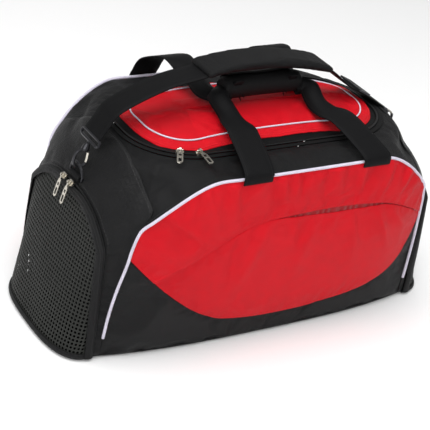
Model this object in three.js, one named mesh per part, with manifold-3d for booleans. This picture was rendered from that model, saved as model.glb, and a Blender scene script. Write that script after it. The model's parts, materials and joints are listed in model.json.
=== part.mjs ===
// A soft-sided hockey equipment bag: a domed duffel with a zipped lid, a zipped mesh pocket
// at each end, two webbing carry handles joined by a wrap grip, and a padded shoulder strap.
// Millimetres. X runs along the bag, -Y is its front, +Z is up. The origin is on the ground
// under the middle of the bag.
import * as THREE from 'three';
import { mergeVertices } from 'three/addons/utils/BufferGeometryUtils.js';
import Module from 'manifold-3d';

const wasm = await Module();
wasm.setup();

// ---------- driving sizes ----------
const GAP = 0.3; // clearance between pieces that touch
const FABRIC = 2.6; // panel thickness, shell cloth with its backing
const TUBE_HALF = 298; // half length of the main tube, to the pocket zips
const BASE_HALF = 146; // half width at the ground, middle of the bag
const BASE_END_NARROWING = 22; // how much the base narrows at the tube's ends
const SIDE_HALF = 180; // widest half width, middle of the bag
const SIDE_END_NARROWING = 54; // how much the sides draw in at the tube's ends
const SIDE_Z = 250; // height of the widest line
const CORNER_Z = 318; // height of the top seam, middle of the bag
const CORNER_DROP = 123; // how far the top seam falls to the tube's ends
const CORNER_FLAT = 150; // half length of the level run of the top seam
const DECK_Z = 327; // height of the deck's middle line
const DECK_DROP = 79; // how far the deck falls to the tube's ends
const DECK_FLAT = 205; // half length of the level run of the deck
const BASE_CORNER = 14; // radius of the base's long edges
const BASE_HEIGHT = 9; // height at which the base panel meets the sides
const BOARD = 3; // stiffener board thickness
const END_WALL = 2; // thickness of the walls between compartment and pockets

const LID_HALF_LENGTH = 225;
const LID_HALF_WIDTH = 108;
const LID_CORNER = 95; // plan radius of the lid's corners, if the lid is wide enough
const LID_END_FLAT = 13; // least half length of the straight run across the lid's ends
const LID_CROWN = 24; // rise of the lid's middle above its zip
const LID_FABRIC = 3;
const TAPE = 11; // width of one side of a zip
const TAPE_THICK = 2;
const PIPING_RADIUS = 2.6;
const LID_PIPING_INSET = 29; // from the zip to the lid's piping

const POCKET_TOP = 5; // how far a pocket stands out at its top
const POCKET_FOOT = 58; // and at its foot
const POCKET_FRAME = 17; // width of the frame around the mesh
const MESH_THICK = 1.6;

const WEBBING = 50; // webbing width
const WEBBING_THICK = 2.4;
const HANDLE_X = 18; // middle of the handles
const HANDLE_SPREAD = 108; // half distance between a handle's feet
const GRIP_X = 14; // middle of the grip
const GRIP_HALF = 70; // half length of the wrap grip
const GRIP_Z = 377;
const GRIP_RADIUS = 21;
const GRIP_WALL = 4;
const FOLDED = 26; // width of the webbing folded inside the grip

const STRAP_Y = -4;
const PAD_WIDTH = 64;
const PAD_THICK = 9;
const ARCH_X = -8; // middle of the strap's round top
const ARCH_RADIUS = 400;
const ARCH_Z = 424; // top of the strap's webbing
const PAD_FROM = -0.235; // the pad's ends, as angles along the arch
const PAD_TO = 0.345;

const WIRE = 2.4; // radius of rings and hooks
const HOOK_EYE = 11; // half width of a hook's eye

// ---------- helpers ----------
const finishes = {
  blackCloth: new THREE.MeshStandardMaterial({ color: 0x1b1b1c, roughness: 0.8 }),
  redCloth: new THREE.MeshStandardMaterial({ color: 0xc8141e, roughness: 0.65 }),
  redLining: new THREE.MeshStandardMaterial({ color: 0xa81019, roughness: 0.8 }),
  whitePiping: new THREE.MeshStandardMaterial({ color: 0xddd8e6, roughness: 0.5 }),
  mesh: new THREE.MeshStandardMaterial({ color: 0x2a2b28, roughness: 0.8 }),
  webbing: new THREE.MeshStandardMaterial({ color: 0x161617, roughness: 0.75 }),
  tape: new THREE.MeshStandardMaterial({ color: 0x121213, roughness: 0.6 }),
  nickel: new THREE.MeshStandardMaterial({ color: 0xc4c0b6, roughness: 0.3, metalness: 1 }),
  darkMetal: new THREE.MeshStandardMaterial({ color: 0x2b2b2e, roughness: 0.35, metalness: 0.9 }),
  board: new THREE.MeshStandardMaterial({ color: 0x3a3a3a, roughness: 0.7 }),
};

function solid(geometry) {
  const bare = geometry.clone();
  for (const name of Object.keys(bare.attributes)) {
    if (name !== 'position') bare.deleteAttribute(name);
  }
  const merged = mergeVertices(bare, 1e-3);
  const corners = merged.index.array;
  const kept = [];
  for (let i = 0; i < corners.length; i += 3) {
    const [a, b, c] = [corners[i], corners[i + 1], corners[i + 2]];
    if (a !== b && b !== c && c !== a) kept.push(a, b, c);
  }
  return new wasm.Manifold(new wasm.Mesh({
    numProp: 3,
    vertProperties: new Float32Array(merged.attributes.position.array),
    triVerts: new Uint32Array(kept),
  }));
}

function geometryOf(body) {
  const { vertProperties, triVerts, numProp } = body.getMesh();
  const geometry = new THREE.BufferGeometry();
  const places = new Float32Array((vertProperties.length / numProp) * 3);
  for (let i = 0; i < places.length / 3; i += 1) {
    for (let k = 0; k < 3; k += 1) places[3 * i + k] = vertProperties[numProp * i + k];
  }
  geometry.setAttribute('position', new THREE.BufferAttribute(places, 3));
  geometry.setIndex(Array.from(triVerts));
  geometry.computeVertexNormals();
  return geometry;
}

// The largest piece of a cut panel, without the offcuts that a seam leaves at its edge.
function mainPiece(body) {
  return body.decompose().reduce((best, piece) => (
    piece.volume() > best.volume() ? piece : best
  ));
}

const bag = new THREE.Group();

function add(name, shape, finish, parent = bag) {
  const geometry = shape.isBufferGeometry ? shape : geometryOf(shape);
  const mesh = new THREE.Mesh(geometry, finish);
  mesh.name = name;
  parent.add(mesh);
  return mesh;
}

function reshape(geometry, place) {
  const at = geometry.attributes.position;
  const point = new THREE.Vector3();
  for (let i = 0; i < at.count; i += 1) {
    point.fromBufferAttribute(at, i);
    place(point);
    at.setXYZ(i, point.x, point.y, point.z);
  }
  geometry.computeVertexNormals();
  return geometry;
}

function block(x0, x1, y0, y1, z0, z1) {
  const box = new THREE.BoxGeometry(x1 - x0, y1 - y0, z1 - z0);
  return solid(box.translate((x0 + x1) / 2, (y0 + y1) / 2, (z0 + z1) / 2));
}

// An outline drawn in X and Z, pushed from y0 to y1.
function prismY(shape, y0, y1, curveSegments = 12) {
  const slab = new THREE.ExtrudeGeometry(shape, {
    depth: y1 - y0, bevelEnabled: false, curveSegments,
  });
  return solid(slab.rotateX(Math.PI / 2).translate(0, y1, 0));
}

// An outline drawn in X and Y, pushed from z0 to z1.
function prismZ(shape, z0, z1, curveSegments = 12) {
  const slab = new THREE.ExtrudeGeometry(shape, {
    depth: z1 - z0, bevelEnabled: false, curveSegments,
  });
  return solid(slab.translate(0, 0, z0));
}

// An outline drawn in Y and Z, pushed from x0 to x1.
function prismX(shape, x0, x1, curveSegments = 12) {
  const slab = new THREE.ExtrudeGeometry(shape, {
    depth: x1 - x0, bevelEnabled: false, curveSegments,
  });
  slab.rotateZ(Math.PI / 2).rotateY(Math.PI / 2);
  return solid(slab.translate(x0, 0, 0));
}

function polygon(points) {
  return new THREE.Shape(points.map(([a, b]) => new THREE.Vector2(a, b)));
}

function circle(radius, sides = 8) {
  const turn = (k) => (2 * Math.PI * k) / sides;
  const rim = Array.from({ length: sides }, (_, k) => [
    radius * Math.cos(turn(k)), radius * Math.sin(turn(k)),
  ]);
  return polygon(rim);
}

// A round wire along a smooth or straight-sided path.
function wire(points, radius, { closed = false, steps = 24, sides = 6, tension = 0.5 } = {}) {
  const path = new THREE.CatmullRomCurve3(
    points.map(([x, y, z]) => new THREE.Vector3(x, y, z)), closed, 'catmullrom', tension,
  );
  const tube = new THREE.ExtrudeGeometry(circle(radius, sides), {
    steps, extrudePath: path, bevelEnabled: false,
  });
  return solid(tube);
}

function roundedRect(halfX, halfY, radius) {
  const shape = new THREE.Shape();
  shape.moveTo(-halfX + radius, -halfY);
  shape.lineTo(halfX - radius, -halfY);
  shape.absarc(halfX - radius, -halfY + radius, radius, -Math.PI / 2, 0);
  shape.lineTo(halfX, halfY - radius);
  shape.absarc(halfX - radius, halfY - radius, radius, 0, Math.PI / 2);
  shape.lineTo(-halfX + radius, halfY);
  shape.absarc(-halfX + radius, halfY - radius, radius, Math.PI / 2, Math.PI);
  shape.lineTo(-halfX, -halfY + radius);
  shape.absarc(-halfX + radius, -halfY + radius, radius, Math.PI, 1.5 * Math.PI);
  return shape;
}

// ---------- the bag's outer form ----------
function along(x, start, end) {
  return Math.max(0, (Math.abs(x) - start) / (end - start));
}
const baseHalf = (x) => BASE_HALF - BASE_END_NARROWING * along(x, 0, TUBE_HALF) ** 3;
const sideHalf = (x) => SIDE_HALF - SIDE_END_NARROWING * along(x, 0, TUBE_HALF) ** 6;
const cornerZ = (x) => CORNER_Z - CORNER_DROP * along(x, CORNER_FLAT, TUBE_HALF) ** 1.6;
const deckZ = (x) => DECK_Z - DECK_DROP * along(x, DECK_FLAT, TUBE_HALF) ** 1.4;

// Half width of the side at a height, and height of the top at a place across the bag.
function sideAt(x, z) {
  const rise = Math.min(1, z / Math.min(SIDE_Z, cornerZ(x)));
  return baseHalf(x) + (sideHalf(x) - baseHalf(x)) * Math.sin((rise * Math.PI) / 2);
}
function topAt(x, y) {
  const share = Math.min(1, Math.abs(y) / sideHalf(x));
  return cornerZ(x) + (deckZ(x) - cornerZ(x)) * (1 - share ** 3);
}

const AROUND = 32;
const HALF_TURNS = { base: 1 / 16, corner: 3 / 16, side: 9 / 16 };

// One point of a cross-section: turn goes from 0 at the base's middle to 1 at the top's middle.
function sectionPoint(x, turn, inset) {
  const radius = Math.max(1, BASE_CORNER - inset);
  const narrow = baseHalf(x) - inset - radius;
  const cornerTop = inset + radius;
  const { base, corner, side } = HALF_TURNS;
  let y;
  let z;
  if (turn <= base) {
    y = (narrow * turn) / base;
    z = inset;
  } else if (turn <= corner) {
    const angle = ((turn - base) / (corner - base)) * (Math.PI / 2);
    y = narrow + radius * Math.sin(angle);
    z = cornerTop - radius * Math.cos(angle);
  } else if (turn <= side) {
    const share = (turn - corner) / (side - corner);
    z = cornerTop + (cornerZ(x) - inset - cornerTop) * share;
    const start = baseHalf(x) - sideAt(x, cornerTop);
    y = sideAt(x, z) - inset + start * (1 - share) ** 2;
  } else {
    const share = (turn - side) / (1 - side);
    y = (sideHalf(x) - inset) * (1 - share);
    z = topAt(x, y) - inset;
  }
  return [y, z];
}

function bagForm(inset, halfLength, rings = 14) {
  const bar = new THREE.CylinderGeometry(1, 1, 2 * halfLength, AROUND, rings);
  bar.rotateZ(-Math.PI / 2);
  return solid(reshape(bar, (point) => {
    const reach = Math.hypot(point.y, point.z);
    const angle = Math.atan2(point.z, point.y);
    const fromBase = point.y >= 0 ? angle + Math.PI / 2 : Math.PI * 1.5 - angle;
    const turn = (((fromBase + 2 * Math.PI) % (2 * Math.PI)) / Math.PI);
    const x = Math.max(-TUBE_HALF, Math.min(TUBE_HALF, point.x));
    const [y, z] = reach < 0.5
      ? [0, deckZ(x) / 2]
      : sectionPoint(x, Math.min(1, turn), inset);
    point.y = (Math.abs(point.y) < 1e-6 ? 0 : Math.sign(point.y)) * Math.abs(y);
    point.z = z;
  }));
}

const REACH = 600; // longer than the bag in any direction
const outer = bagForm(0, TUBE_HALF);
const inner = bagForm(FABRIC, TUBE_HALF + 1);
const shell = outer.subtract(inner);

// ---------- seams that cut the shell into panels ----------
// The front and rear panels' outline: up each end, then along the top seam.
const PANEL_FOOT = 288;
const PANEL_WAIST = 272;
const PANEL_SHOULDER = 262;
function panelOutline(grow) {
  const side = [
    [PANEL_FOOT + grow, -10],
    [PANEL_FOOT - 4 + grow, 90],
    [PANEL_WAIST + grow, 175],
    [PANEL_SHOULDER + 5 + grow, cornerZ(PANEL_SHOULDER + 5) - 10],
  ];
  const top = [];
  for (let x = PANEL_SHOULDER; x > 0; x -= 29) top.push([x, cornerZ(x) + grow]);
  const left = ([x, z]) => [-x, z];
  const right = [...side, ...top];
  return polygon([...right, [0, CORNER_Z + grow], ...right.map(left).reverse()]);
}

// The leaf: a bright panel that hangs from the top seam and tapers to a point at one end.
const LEAF_EDGE = [
  [-300, 226], [-268, 190], [-218, 138], [-160, 88], [-118, 62], [-84, 50], [-20, 42], [55, 42],
  [97, 46], [155, 53], [197, 66], [229, 88], [251, 121], [264, 158], [300, 230],
];
const leafCurve = new THREE.SplineCurve(LEAF_EDGE.map(([x, z]) => new THREE.Vector2(x, z)));
function leafOutline(shift) {
  const edge = leafCurve.getPoints(20).map((p) => [p.x, p.y + shift]);
  return polygon([...edge, [REACH, REACH], [-REACH, REACH]]);
}

const onBase = block(-REACH, REACH, -REACH, REACH, -10, BASE_HEIGHT);
const aboveBase = block(-REACH, REACH, -REACH, REACH, BASE_HEIGHT + GAP, REACH);
const panelCut = prismY(panelOutline(0), -REACH, REACH);
const panelKeepOut = prismY(panelOutline(GAP), -REACH, REACH);
const frontHalf = block(-REACH, REACH, -REACH, -60, -REACH, REACH);

// The slit of the slash pocket: a lens along an arched seam.
const SLIT_FROM = -40;
const SLIT_TO = 186;
const SLIT_GAPE = 9;
const slitSeam = (x) => 244 - 11 * ((x - 60) / 130) ** 2;
function slitOutline() {
  const steps = 8;
  const at = (k) => SLIT_FROM + ((SLIT_TO - SLIT_FROM) * k) / steps;
  const upper = [];
  const lower = [];
  for (let k = 0; k <= steps; k += 1) {
    const open = SLIT_GAPE * Math.sin((Math.PI * k) / steps);
    upper.push([at(k), slitSeam(at(k)) + 0.3]);
    if (k > 0 && k < steps) lower.push([at(k), slitSeam(at(k)) - open]);
  }
  return polygon([...lower, ...upper.reverse()]);
}

const sides = shell.intersect(panelCut).intersect(aboveBase);
const front = sides.intersect(frontHalf);
const leafCut = prismY(leafOutline(0), -REACH, -60);
const leafKeepOut = prismY(leafOutline(-GAP), -REACH, -60);
const piping = pipingPath();
const pipingWire = wire(piping, PIPING_RADIUS, { steps: 40, sides: 5 });
const pipingRoom = wire(piping, PIPING_RADIUS + GAP, { steps: 40, sides: 5 });

function pipingPath() {
  const stand = PIPING_RADIUS - 1; // how far the piping stands off the shell
  const up = [16, 60, 110, 160, 200].map((z) => {
    const x = z < 90 ? PANEL_FOOT - (4 * z) / 90 : PANEL_FOOT - 4 - ((z - 90) / 85) * 12;
    return [Math.max(x, PANEL_SHOULDER + 5), z];
  });
  const over = [264, 252, 238, 222, 204, 184, 160, 130, 90, 45].map((x) => [x, cornerZ(x)]);
  const half = [...up, ...over];
  const all = [...half, [0, CORNER_Z], ...half.map(([x, z]) => [-x, z]).reverse()];
  return all.map(([x, z]) => [x, -sideAt(x, z) - stand, z + 1]);
}

function turned(body) {
  return body.rotate([0, 0, 180]);
}

const leafPanel = mainPiece(front.intersect(leafCut).subtract(pipingRoom));
const slit = prismY(slitOutline(), -REACH, -60);
const frontLower = mainPiece(front.subtract(leafKeepOut).subtract(pipingRoom));
add('front_leaf_panel', mainPiece(leafPanel.subtract(slit)), finishes.redCloth);
add('front_lower_panel', frontLower, finishes.blackCloth);
add('rear_leaf_panel', turned(leafPanel), finishes.redCloth);
add('rear_lower_panel', turned(frontLower), finishes.blackCloth);
add('front_piping', pipingWire, finishes.whitePiping);
add('rear_piping', turned(pipingWire), finishes.whitePiping);

// The slash pocket's liner: a shallow tray behind the leaf, open towards the slit.
const POCKET_DEPTH = 12;
const POCKET_LINER = 2;
function pocketOutline(inset) {
  return polygon([
    [-150 + inset, 110 + inset], [-60, 82 + inset], [60, 80 + inset], [160, 88 + inset],
    [215 - inset, 130 + inset], [228 - inset, 190], [205 - inset, 232 - inset],
    [150, 258 - inset], [60, 268 - inset], [-40, 262 - inset], [-110, 236 - inset],
    [-158 + inset, 180],
  ]);
}
const layer = (from, to) => bagForm(from, TUBE_HALF).subtract(bagForm(to, TUBE_HALF + 1));
const liner = layer(FABRIC + GAP, FABRIC + POCKET_DEPTH)
  .intersect(prismY(pocketOutline(0), -REACH, -60))
  .subtract(layer(FABRIC - 1, FABRIC + POCKET_DEPTH - POCKET_LINER)
    .intersect(prismY(pocketOutline(4), -REACH, -60)));
add('front_pocket_liner', liner, finishes.redLining);

// ---------- base ----------
add('base_panel', shell.intersect(onBase), finishes.blackCloth);
const boardHalf = BASE_HALF - BASE_END_NARROWING - BASE_CORNER - 4;
const boardPlan = roundedRect(TUBE_HALF - 14, boardHalf, 30);
const boardFloor = FABRIC + GAP;
add('base_board', prismZ(boardPlan, boardFloor, boardFloor + BOARD, 4), finishes.board);

// ---------- deck, shoulders and end gussets ----------
const aroundPanels = shell.intersect(aboveBase)
  .subtract(panelKeepOut)
  .subtract(pipingRoom)
  .subtract(turned(pipingRoom));
const LID_CORNER_STEPS = 4;
const lidCorner = Math.min(LID_CORNER, LID_HALF_WIDTH - LID_END_FLAT);
const lidPlan = (grow) => roundedRect(
  LID_HALF_LENGTH + grow, LID_HALF_WIDTH + grow, lidCorner + grow,
);
const SHOULDER_SEAM = 240; // where the deck meets the shoulder panels
const lidHole = prismZ(lidPlan(TAPE + 2 * GAP), 200, REACH, LID_CORNER_STEPS);
const deckSpan = block(-SHOULDER_SEAM, SHOULDER_SEAM, -REACH, REACH, -REACH, REACH);
add('top_deck', mainPiece(aroundPanels.intersect(deckSpan).subtract(lidHole)), finishes.blackCloth);

// In plan the shoulder panel is a trapezium; the gussets fill the corners beside it.
const GUSSET_INNER = 172; // half width of the shoulder panel at the deck
const GUSSET_OUTER = 84; // and at the pocket
function shoulderPlan(grow) {
  return polygon([
    [SHOULDER_SEAM + GAP, -GUSSET_INNER - grow], [TUBE_HALF + 5, -GUSSET_OUTER - grow],
    [TUBE_HALF + 5, GUSSET_OUTER + grow], [SHOULDER_SEAM + GAP, GUSSET_INNER + grow],
  ]);
}
const rightEnd = aroundPanels.intersect(
  block(SHOULDER_SEAM + GAP, REACH, -REACH, REACH, -REACH, REACH),
).subtract(lidHole);
const shoulder = mainPiece(rightEnd.intersect(prismZ(shoulderPlan(0), 150, REACH)));
const gussets = rightEnd.subtract(prismZ(shoulderPlan(GAP), 150, REACH));
const frontGusset = mainPiece(gussets.intersect(block(0, REACH, -REACH, -20, -REACH, REACH)));
const rearGusset = mainPiece(gussets.intersect(block(0, REACH, 20, REACH, -REACH, REACH)));
add('right_shoulder_panel', shoulder, finishes.blackCloth);
add('right_front_gusset', frontGusset, finishes.blackCloth);
add('right_rear_gusset', rearGusset, finishes.blackCloth);
add('left_shoulder_panel', turned(shoulder), finishes.blackCloth);
add('left_rear_gusset', turned(frontGusset), finishes.blackCloth);
add('left_front_gusset', turned(rearGusset), finishes.blackCloth);

// ---------- walls between the main compartment and the end pockets ----------
const boardTop = boardFloor + BOARD + GAP;
function endSection(inset, x, sample = 22) {
  const points = [];
  for (let k = 0; k <= sample; k += 1) points.push(sectionPoint(x, k / sample, inset));
  const mirrored = points.slice(1, -1).map(([y, z]) => [-y, z]).reverse();
  return [...points, ...mirrored];
}
const WALL_X = TUBE_HALF - 12;
const wallShape = polygon(endSection(FABRIC + 2, TUBE_HALF));
const endWall = prismX(wallShape, WALL_X - END_WALL, WALL_X)
  .intersect(block(0, REACH, -REACH, REACH, boardTop, REACH));
add('right_end_wall', endWall, finishes.blackCloth);
add('left_end_wall', turned(endWall), finishes.blackCloth);

// ---------- lid ----------
const ZIP_Z = DECK_Z - TAPE_THICK; // underside of the lid zip's tapes
const zipTop = ZIP_Z + TAPE_THICK;
function lidRise(x, y) {
  const reach = (Math.abs(x) / LID_HALF_LENGTH) ** 2.6 + (Math.abs(y) / LID_HALF_WIDTH) ** 2.2;
  return LID_CROWN * Math.max(0, 1 - reach) ** 0.75;
}
const lidPlate = solid(reshape(
  new THREE.BoxGeometry(2 * LID_HALF_LENGTH, 2 * LID_HALF_WIDTH, LID_FABRIC, 12, 8, 1),
  (point) => {
    point.z += ZIP_Z + LID_FABRIC / 2 + lidRise(point.x, point.y);
  },
));
const lidEdge = -TAPE - 2 * GAP;
const pipingInset = -LID_PIPING_INSET;
const halfPiping = PIPING_RADIUS + 1.4; // room for the piping in the lid's seam
const lidRing = (grow) => prismZ(lidPlan(grow), 300, REACH, LID_CORNER_STEPS);
add('lid_panel', lidPlate.intersect(lidRing(pipingInset - halfPiping)), finishes.redCloth);
const lidBand = lidPlate.intersect(lidRing(lidEdge)).subtract(lidRing(pipingInset + halfPiping));
add('lid_band', lidBand, finishes.redCloth);
const lidPipingPoints = lidPlan(pipingInset).getPoints(LID_CORNER_STEPS).slice(0, -1).map((p) => [
  p.x, p.y, ZIP_Z + LID_FABRIC / 2 + lidRise(p.x, p.y) + 1,
]);
const lidPiping = wire(lidPipingPoints, PIPING_RADIUS, { closed: true, steps: 40, tension: 0.2 });
add('lid_piping', lidPiping, finishes.whitePiping);
const tape = (from, to) => prismZ(lidPlan(to), ZIP_Z, zipTop, LID_CORNER_STEPS)
  .subtract(prismZ(lidPlan(from), ZIP_Z - 1, zipTop + 1, LID_CORNER_STEPS));
add('lid_zip_tape', tape(-TAPE, -GAP / 2), finishes.tape);
add('deck_zip_tape', tape(GAP / 2, TAPE), finishes.tape);

// ---------- end pockets ----------
// Each pocket is a wedge with a window of mesh, hinged at its foot and zipped round its rim.
const FLAP_INNER = TUBE_HALF + GAP;
const FLOOR_TOP = 3.4;
const FLAP_FOOT = FLOOR_TOP + GAP;
const flapTop = deckZ(TUBE_HALF);
const slope = (POCKET_FOOT - POCKET_TOP) / flapTop;
const faceX = (z) => TUBE_HALF + POCKET_FOOT - slope * z; // the mesh face, leaning inwards
function wedge(inset, back) {
  const top = flapTop + 2;
  const profile = polygon([
    [back, -5], [faceX(-5) - inset, -5], [faceX(top) - inset, top], [back, top],
  ]);
  const hull = prismX(polygon(endSection(inset, TUBE_HALF)), back, REACH);
  return hull.intersect(prismY(profile, -REACH, REACH));
}
const aboveFloor = block(0, REACH, -REACH, REACH, FLAP_FOOT, REACH);
const flapShell = wedge(0, FLAP_INNER).subtract(wedge(FABRIC, FLAP_INNER - 1))
  .intersect(aboveFloor);
const windowHole = (grow) => prismX(
  polygon(endSection(POCKET_FRAME - grow, TUBE_HALF)), FLAP_INNER, REACH,
).intersect(block(0, REACH, -REACH, REACH, FLAP_FOOT + POCKET_FRAME - grow, REACH));
const face = wedge(0, FLAP_INNER).subtract(wedge(MESH_THICK, FLAP_INNER - 1));
const meshPanel = face.intersect(windowHole(-GAP));
const flapFrame = flapShell.subtract(windowHole(0));
const floorPlan = block(TUBE_HALF + GAP, faceX(0) - 1, -REACH, REACH, 0, FLOOR_TOP);
const pocketFloor = prismX(polygon(endSection(0, TUBE_HALF)), TUBE_HALF, REACH)
  .intersect(floorPlan);
for (const [side, place] of [['right', (body) => body], ['left', turned]]) {
  add(`${side}_pocket_frame`, place(flapFrame), finishes.blackCloth);
  add(`${side}_pocket_mesh`, place(meshPanel), finishes.mesh);
  add(`${side}_pocket_floor`, place(pocketFloor), finishes.blackCloth);
}

// ---------- zip sliders and pulls ----------
// Own frame: X along the zip, Z away from the bag, and the pull lies along -Y.
const SLIDER = { height: 4.2, bridge: 7.7, bar: 0.9 };
function sliderBody() {
  const plan = polygon([
    [-6, -3], [-4, -4.5], [4, -4.5], [6, -2.6], [6, 2.6], [4, 4.5], [-4, 4.5], [-6, 3],
  ]);
  const shoe = prismZ(plan, GAP, SLIDER.height);
  const arch = wire([
    [-4.6, 0, SLIDER.height - 1], [-4.2, 0, SLIDER.bridge - 0.6], [-3, 0, SLIDER.bridge],
    [3, 0, SLIDER.bridge], [4.2, 0, SLIDER.bridge - 0.6], [4.6, 0, SLIDER.height - 1],
  ], SLIDER.bar, { steps: 8, sides: 5 });
  return shoe.add(arch);
}
function pullBody() {
  const eye = new THREE.Shape();
  eye.absarc(0, 0, 2.9, 0, 2 * Math.PI);
  const bore = new THREE.Path();
  bore.absarc(0, 0, 1.35, 0, 2 * Math.PI);
  eye.holes.push(bore);
  const ring = prismX(eye, -1.5, 1.5, 5);
  const link = block(-1.5, 1.5, -9, -2.1, -1.1, 1.1);
  const tab = new THREE.Shape();
  tab.moveTo(-3, -8);
  tab.lineTo(-4.6, -14);
  tab.lineTo(-4.6, -33);
  tab.absarc(0, -33, 4.6, Math.PI, 2 * Math.PI);
  tab.lineTo(4.6, -14);
  tab.lineTo(3, -8);
  for (const [from, to, half] of [[-19, -14, 2.2], [-34, -23, 2.4]]) {
    const slot = new THREE.Path();
    slot.moveTo(-half, to);
    slot.lineTo(half, to);
    slot.lineTo(half, from);
    slot.lineTo(-half, from);
    slot.closePath();
    tab.holes.push(slot);
  }
  return ring.add(link).add(prismZ(tab, -0.9, 0.9, 3));
}

// Places one slider with its pull; droop turns the pull down from the zip's own plane.
function addZipSlider(name, position, zipDirection, outward, droop) {
  const frame = new THREE.Group();
  const x = new THREE.Vector3(...zipDirection).normalize();
  const z = new THREE.Vector3(...outward).normalize();
  const y = z.clone().cross(x);
  frame.quaternion.setFromRotationMatrix(new THREE.Matrix4().makeBasis(x, y, z));
  frame.position.set(...position);
  add(`${name}_slider`, sliderBody(), finishes.nickel, frame);
  const pull = add(`${name}_pull`, pullBody(), finishes.nickel, frame);
  pull.position.z = SLIDER.bridge;
  pull.rotation.x = droop;
  bag.add(frame);
}
const sliderZ = zipTop + GAP;
const cornerCentre = [-LID_HALF_LENGTH + lidCorner, -LID_HALF_WIDTH + lidCorner];
const LEFT_SLIDER_TURN = 0.5; // how far round the corner the left slider is parked
const RIGHT_SLIDER_X = -148;
addZipSlider('lid_left', [
  cornerCentre[0] - lidCorner * Math.sin(LEFT_SLIDER_TURN),
  cornerCentre[1] - lidCorner * Math.cos(LEFT_SLIDER_TURN),
  sliderZ,
], [Math.cos(LEFT_SLIDER_TURN), -Math.sin(LEFT_SLIDER_TURN), 0], [0, 0, 1], 0.1);
addZipSlider('lid_right', [
  RIGHT_SLIDER_X, -LID_HALF_WIDTH + 1, sliderZ,
], [1, 0, 0], [0, 0, 1], 0.1);

// On a pocket the sliders sit on the rim's top edge and their pulls hang over the mesh.
const POCKET_SLIDER_Y = 12;
const POCKET_LEAN = 0.95; // from straight up towards the pocket's outside
for (const [side, out] of [['left', -1], ['right', 1]]) {
  for (const [which, y] of [['front', -POCKET_SLIDER_Y], ['rear', POCKET_SLIDER_Y]]) {
    addZipSlider(`${side}_pocket_${which}`, [
      out * (FLAP_INNER + 5), y, flapTop + 2.2,
    ], [0, out, 0], [out * Math.sin(POCKET_LEAN), 0, Math.cos(POCKET_LEAN)], 0.35);
  }
}

// ---------- carry handles and the wrap grip ----------
// A flat strip through a list of places, its width along X; it narrows over its last third.
function strip(points, width, endWidth, thick, steps = 12) {
  const path = new THREE.CatmullRomCurve3(points.map((p) => new THREE.Vector3(...p)));
  const box = new THREE.BoxGeometry(1, thick, 1, 1, 1, steps);
  return solid(reshape(box, (point) => {
    const t = point.z + 0.5;
    const at = path.getPoint(t);
    const way = path.getTangent(t);
    const lift = new THREE.Vector3(0, way.z, -way.y).normalize();
    const narrowing = THREE.MathUtils.smoothstep(t, 0.62, 0.92);
    const across = point.x * THREE.MathUtils.lerp(width, endWidth, narrowing);
    const up = point.y;
    point.copy(at).addScaledVector(lift, up);
    point.x += across;
  }));
}
const HANDLE_STAND = PIPING_RADIUS * 2 + 1.6; // how far the handles' feet stand off the side
const FOOT_Y = -sideAt(0, CORNER_Z) - HANDLE_STAND;
const FOOT_Z = CORNER_Z + 1.5;
const GRIP_ENTRY = FOLDED / 2 + 3; // from the grip's end to the middle of the folded webbing
function handle(depth) {
  const legs = [-1, 1].map((side) => strip([
    [HANDLE_X + side * HANDLE_SPREAD, FOOT_Y, FOOT_Z],
    [HANDLE_X + side * (HANDLE_SPREAD - 1), FOOT_Y + 3, FOOT_Z + 8],
    [HANDLE_X + side * (HANDLE_SPREAD - 5), FOOT_Y + 22, FOOT_Z + 17],
    [HANDLE_X + side * (HANDLE_SPREAD - 14), -110, 353],
    [GRIP_X + side * (GRIP_HALF + GRIP_ENTRY - 4), -58, 366],
    [GRIP_X + side * (GRIP_HALF + GRIP_ENTRY), -22, GRIP_Z + depth],
    [GRIP_X + side * (GRIP_HALF + GRIP_ENTRY), -4, GRIP_Z + depth],
  ], WEBBING, FOLDED, WEBBING_THICK));
  const reach = GRIP_HALF + GRIP_ENTRY + FOLDED / 2;
  const inside = block(
    GRIP_X - reach, GRIP_X + reach, -FOLDED / 2, FOLDED / 2,
    GRIP_Z + depth - WEBBING_THICK, GRIP_Z + depth + WEBBING_THICK,
  );
  return legs[0].add(legs[1]).add(inside);
}
const STACK = 4; // the front handle lies this far above the grip's middle, the rear below
add('front_handle_webbing', handle(STACK), finishes.webbing);
add('rear_handle_webbing', handle(-STACK).mirror([0, 1, 0]), finishes.webbing);

function halfPipe(from, to) {
  const shape = new THREE.Shape();
  shape.absarc(0, 0, GRIP_RADIUS, from, to);
  shape.absarc(0, 0, GRIP_RADIUS - GRIP_WALL, to, from, true);
  return prismX(shape, GRIP_X - GRIP_HALF, GRIP_X + GRIP_HALF, 6).translate([0, 0, GRIP_Z]);
}
const SPLIT = 0.02; // half the slit between the wrap and its flap, in radians
add('grip_wrap', halfPipe(Math.PI + SPLIT, 2 * Math.PI - SPLIT), finishes.blackCloth);
add('grip_flap', halfPipe(SPLIT, Math.PI - SPLIT), finishes.blackCloth);

// ---------- shoulder strap ----------
const archCentre = [ARCH_X, ARCH_Z - ARCH_RADIUS];
const onArch = (angle) => [
  archCentre[0] + ARCH_RADIUS * Math.sin(angle),
  archCentre[1] + ARCH_RADIUS * Math.cos(angle),
];
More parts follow.
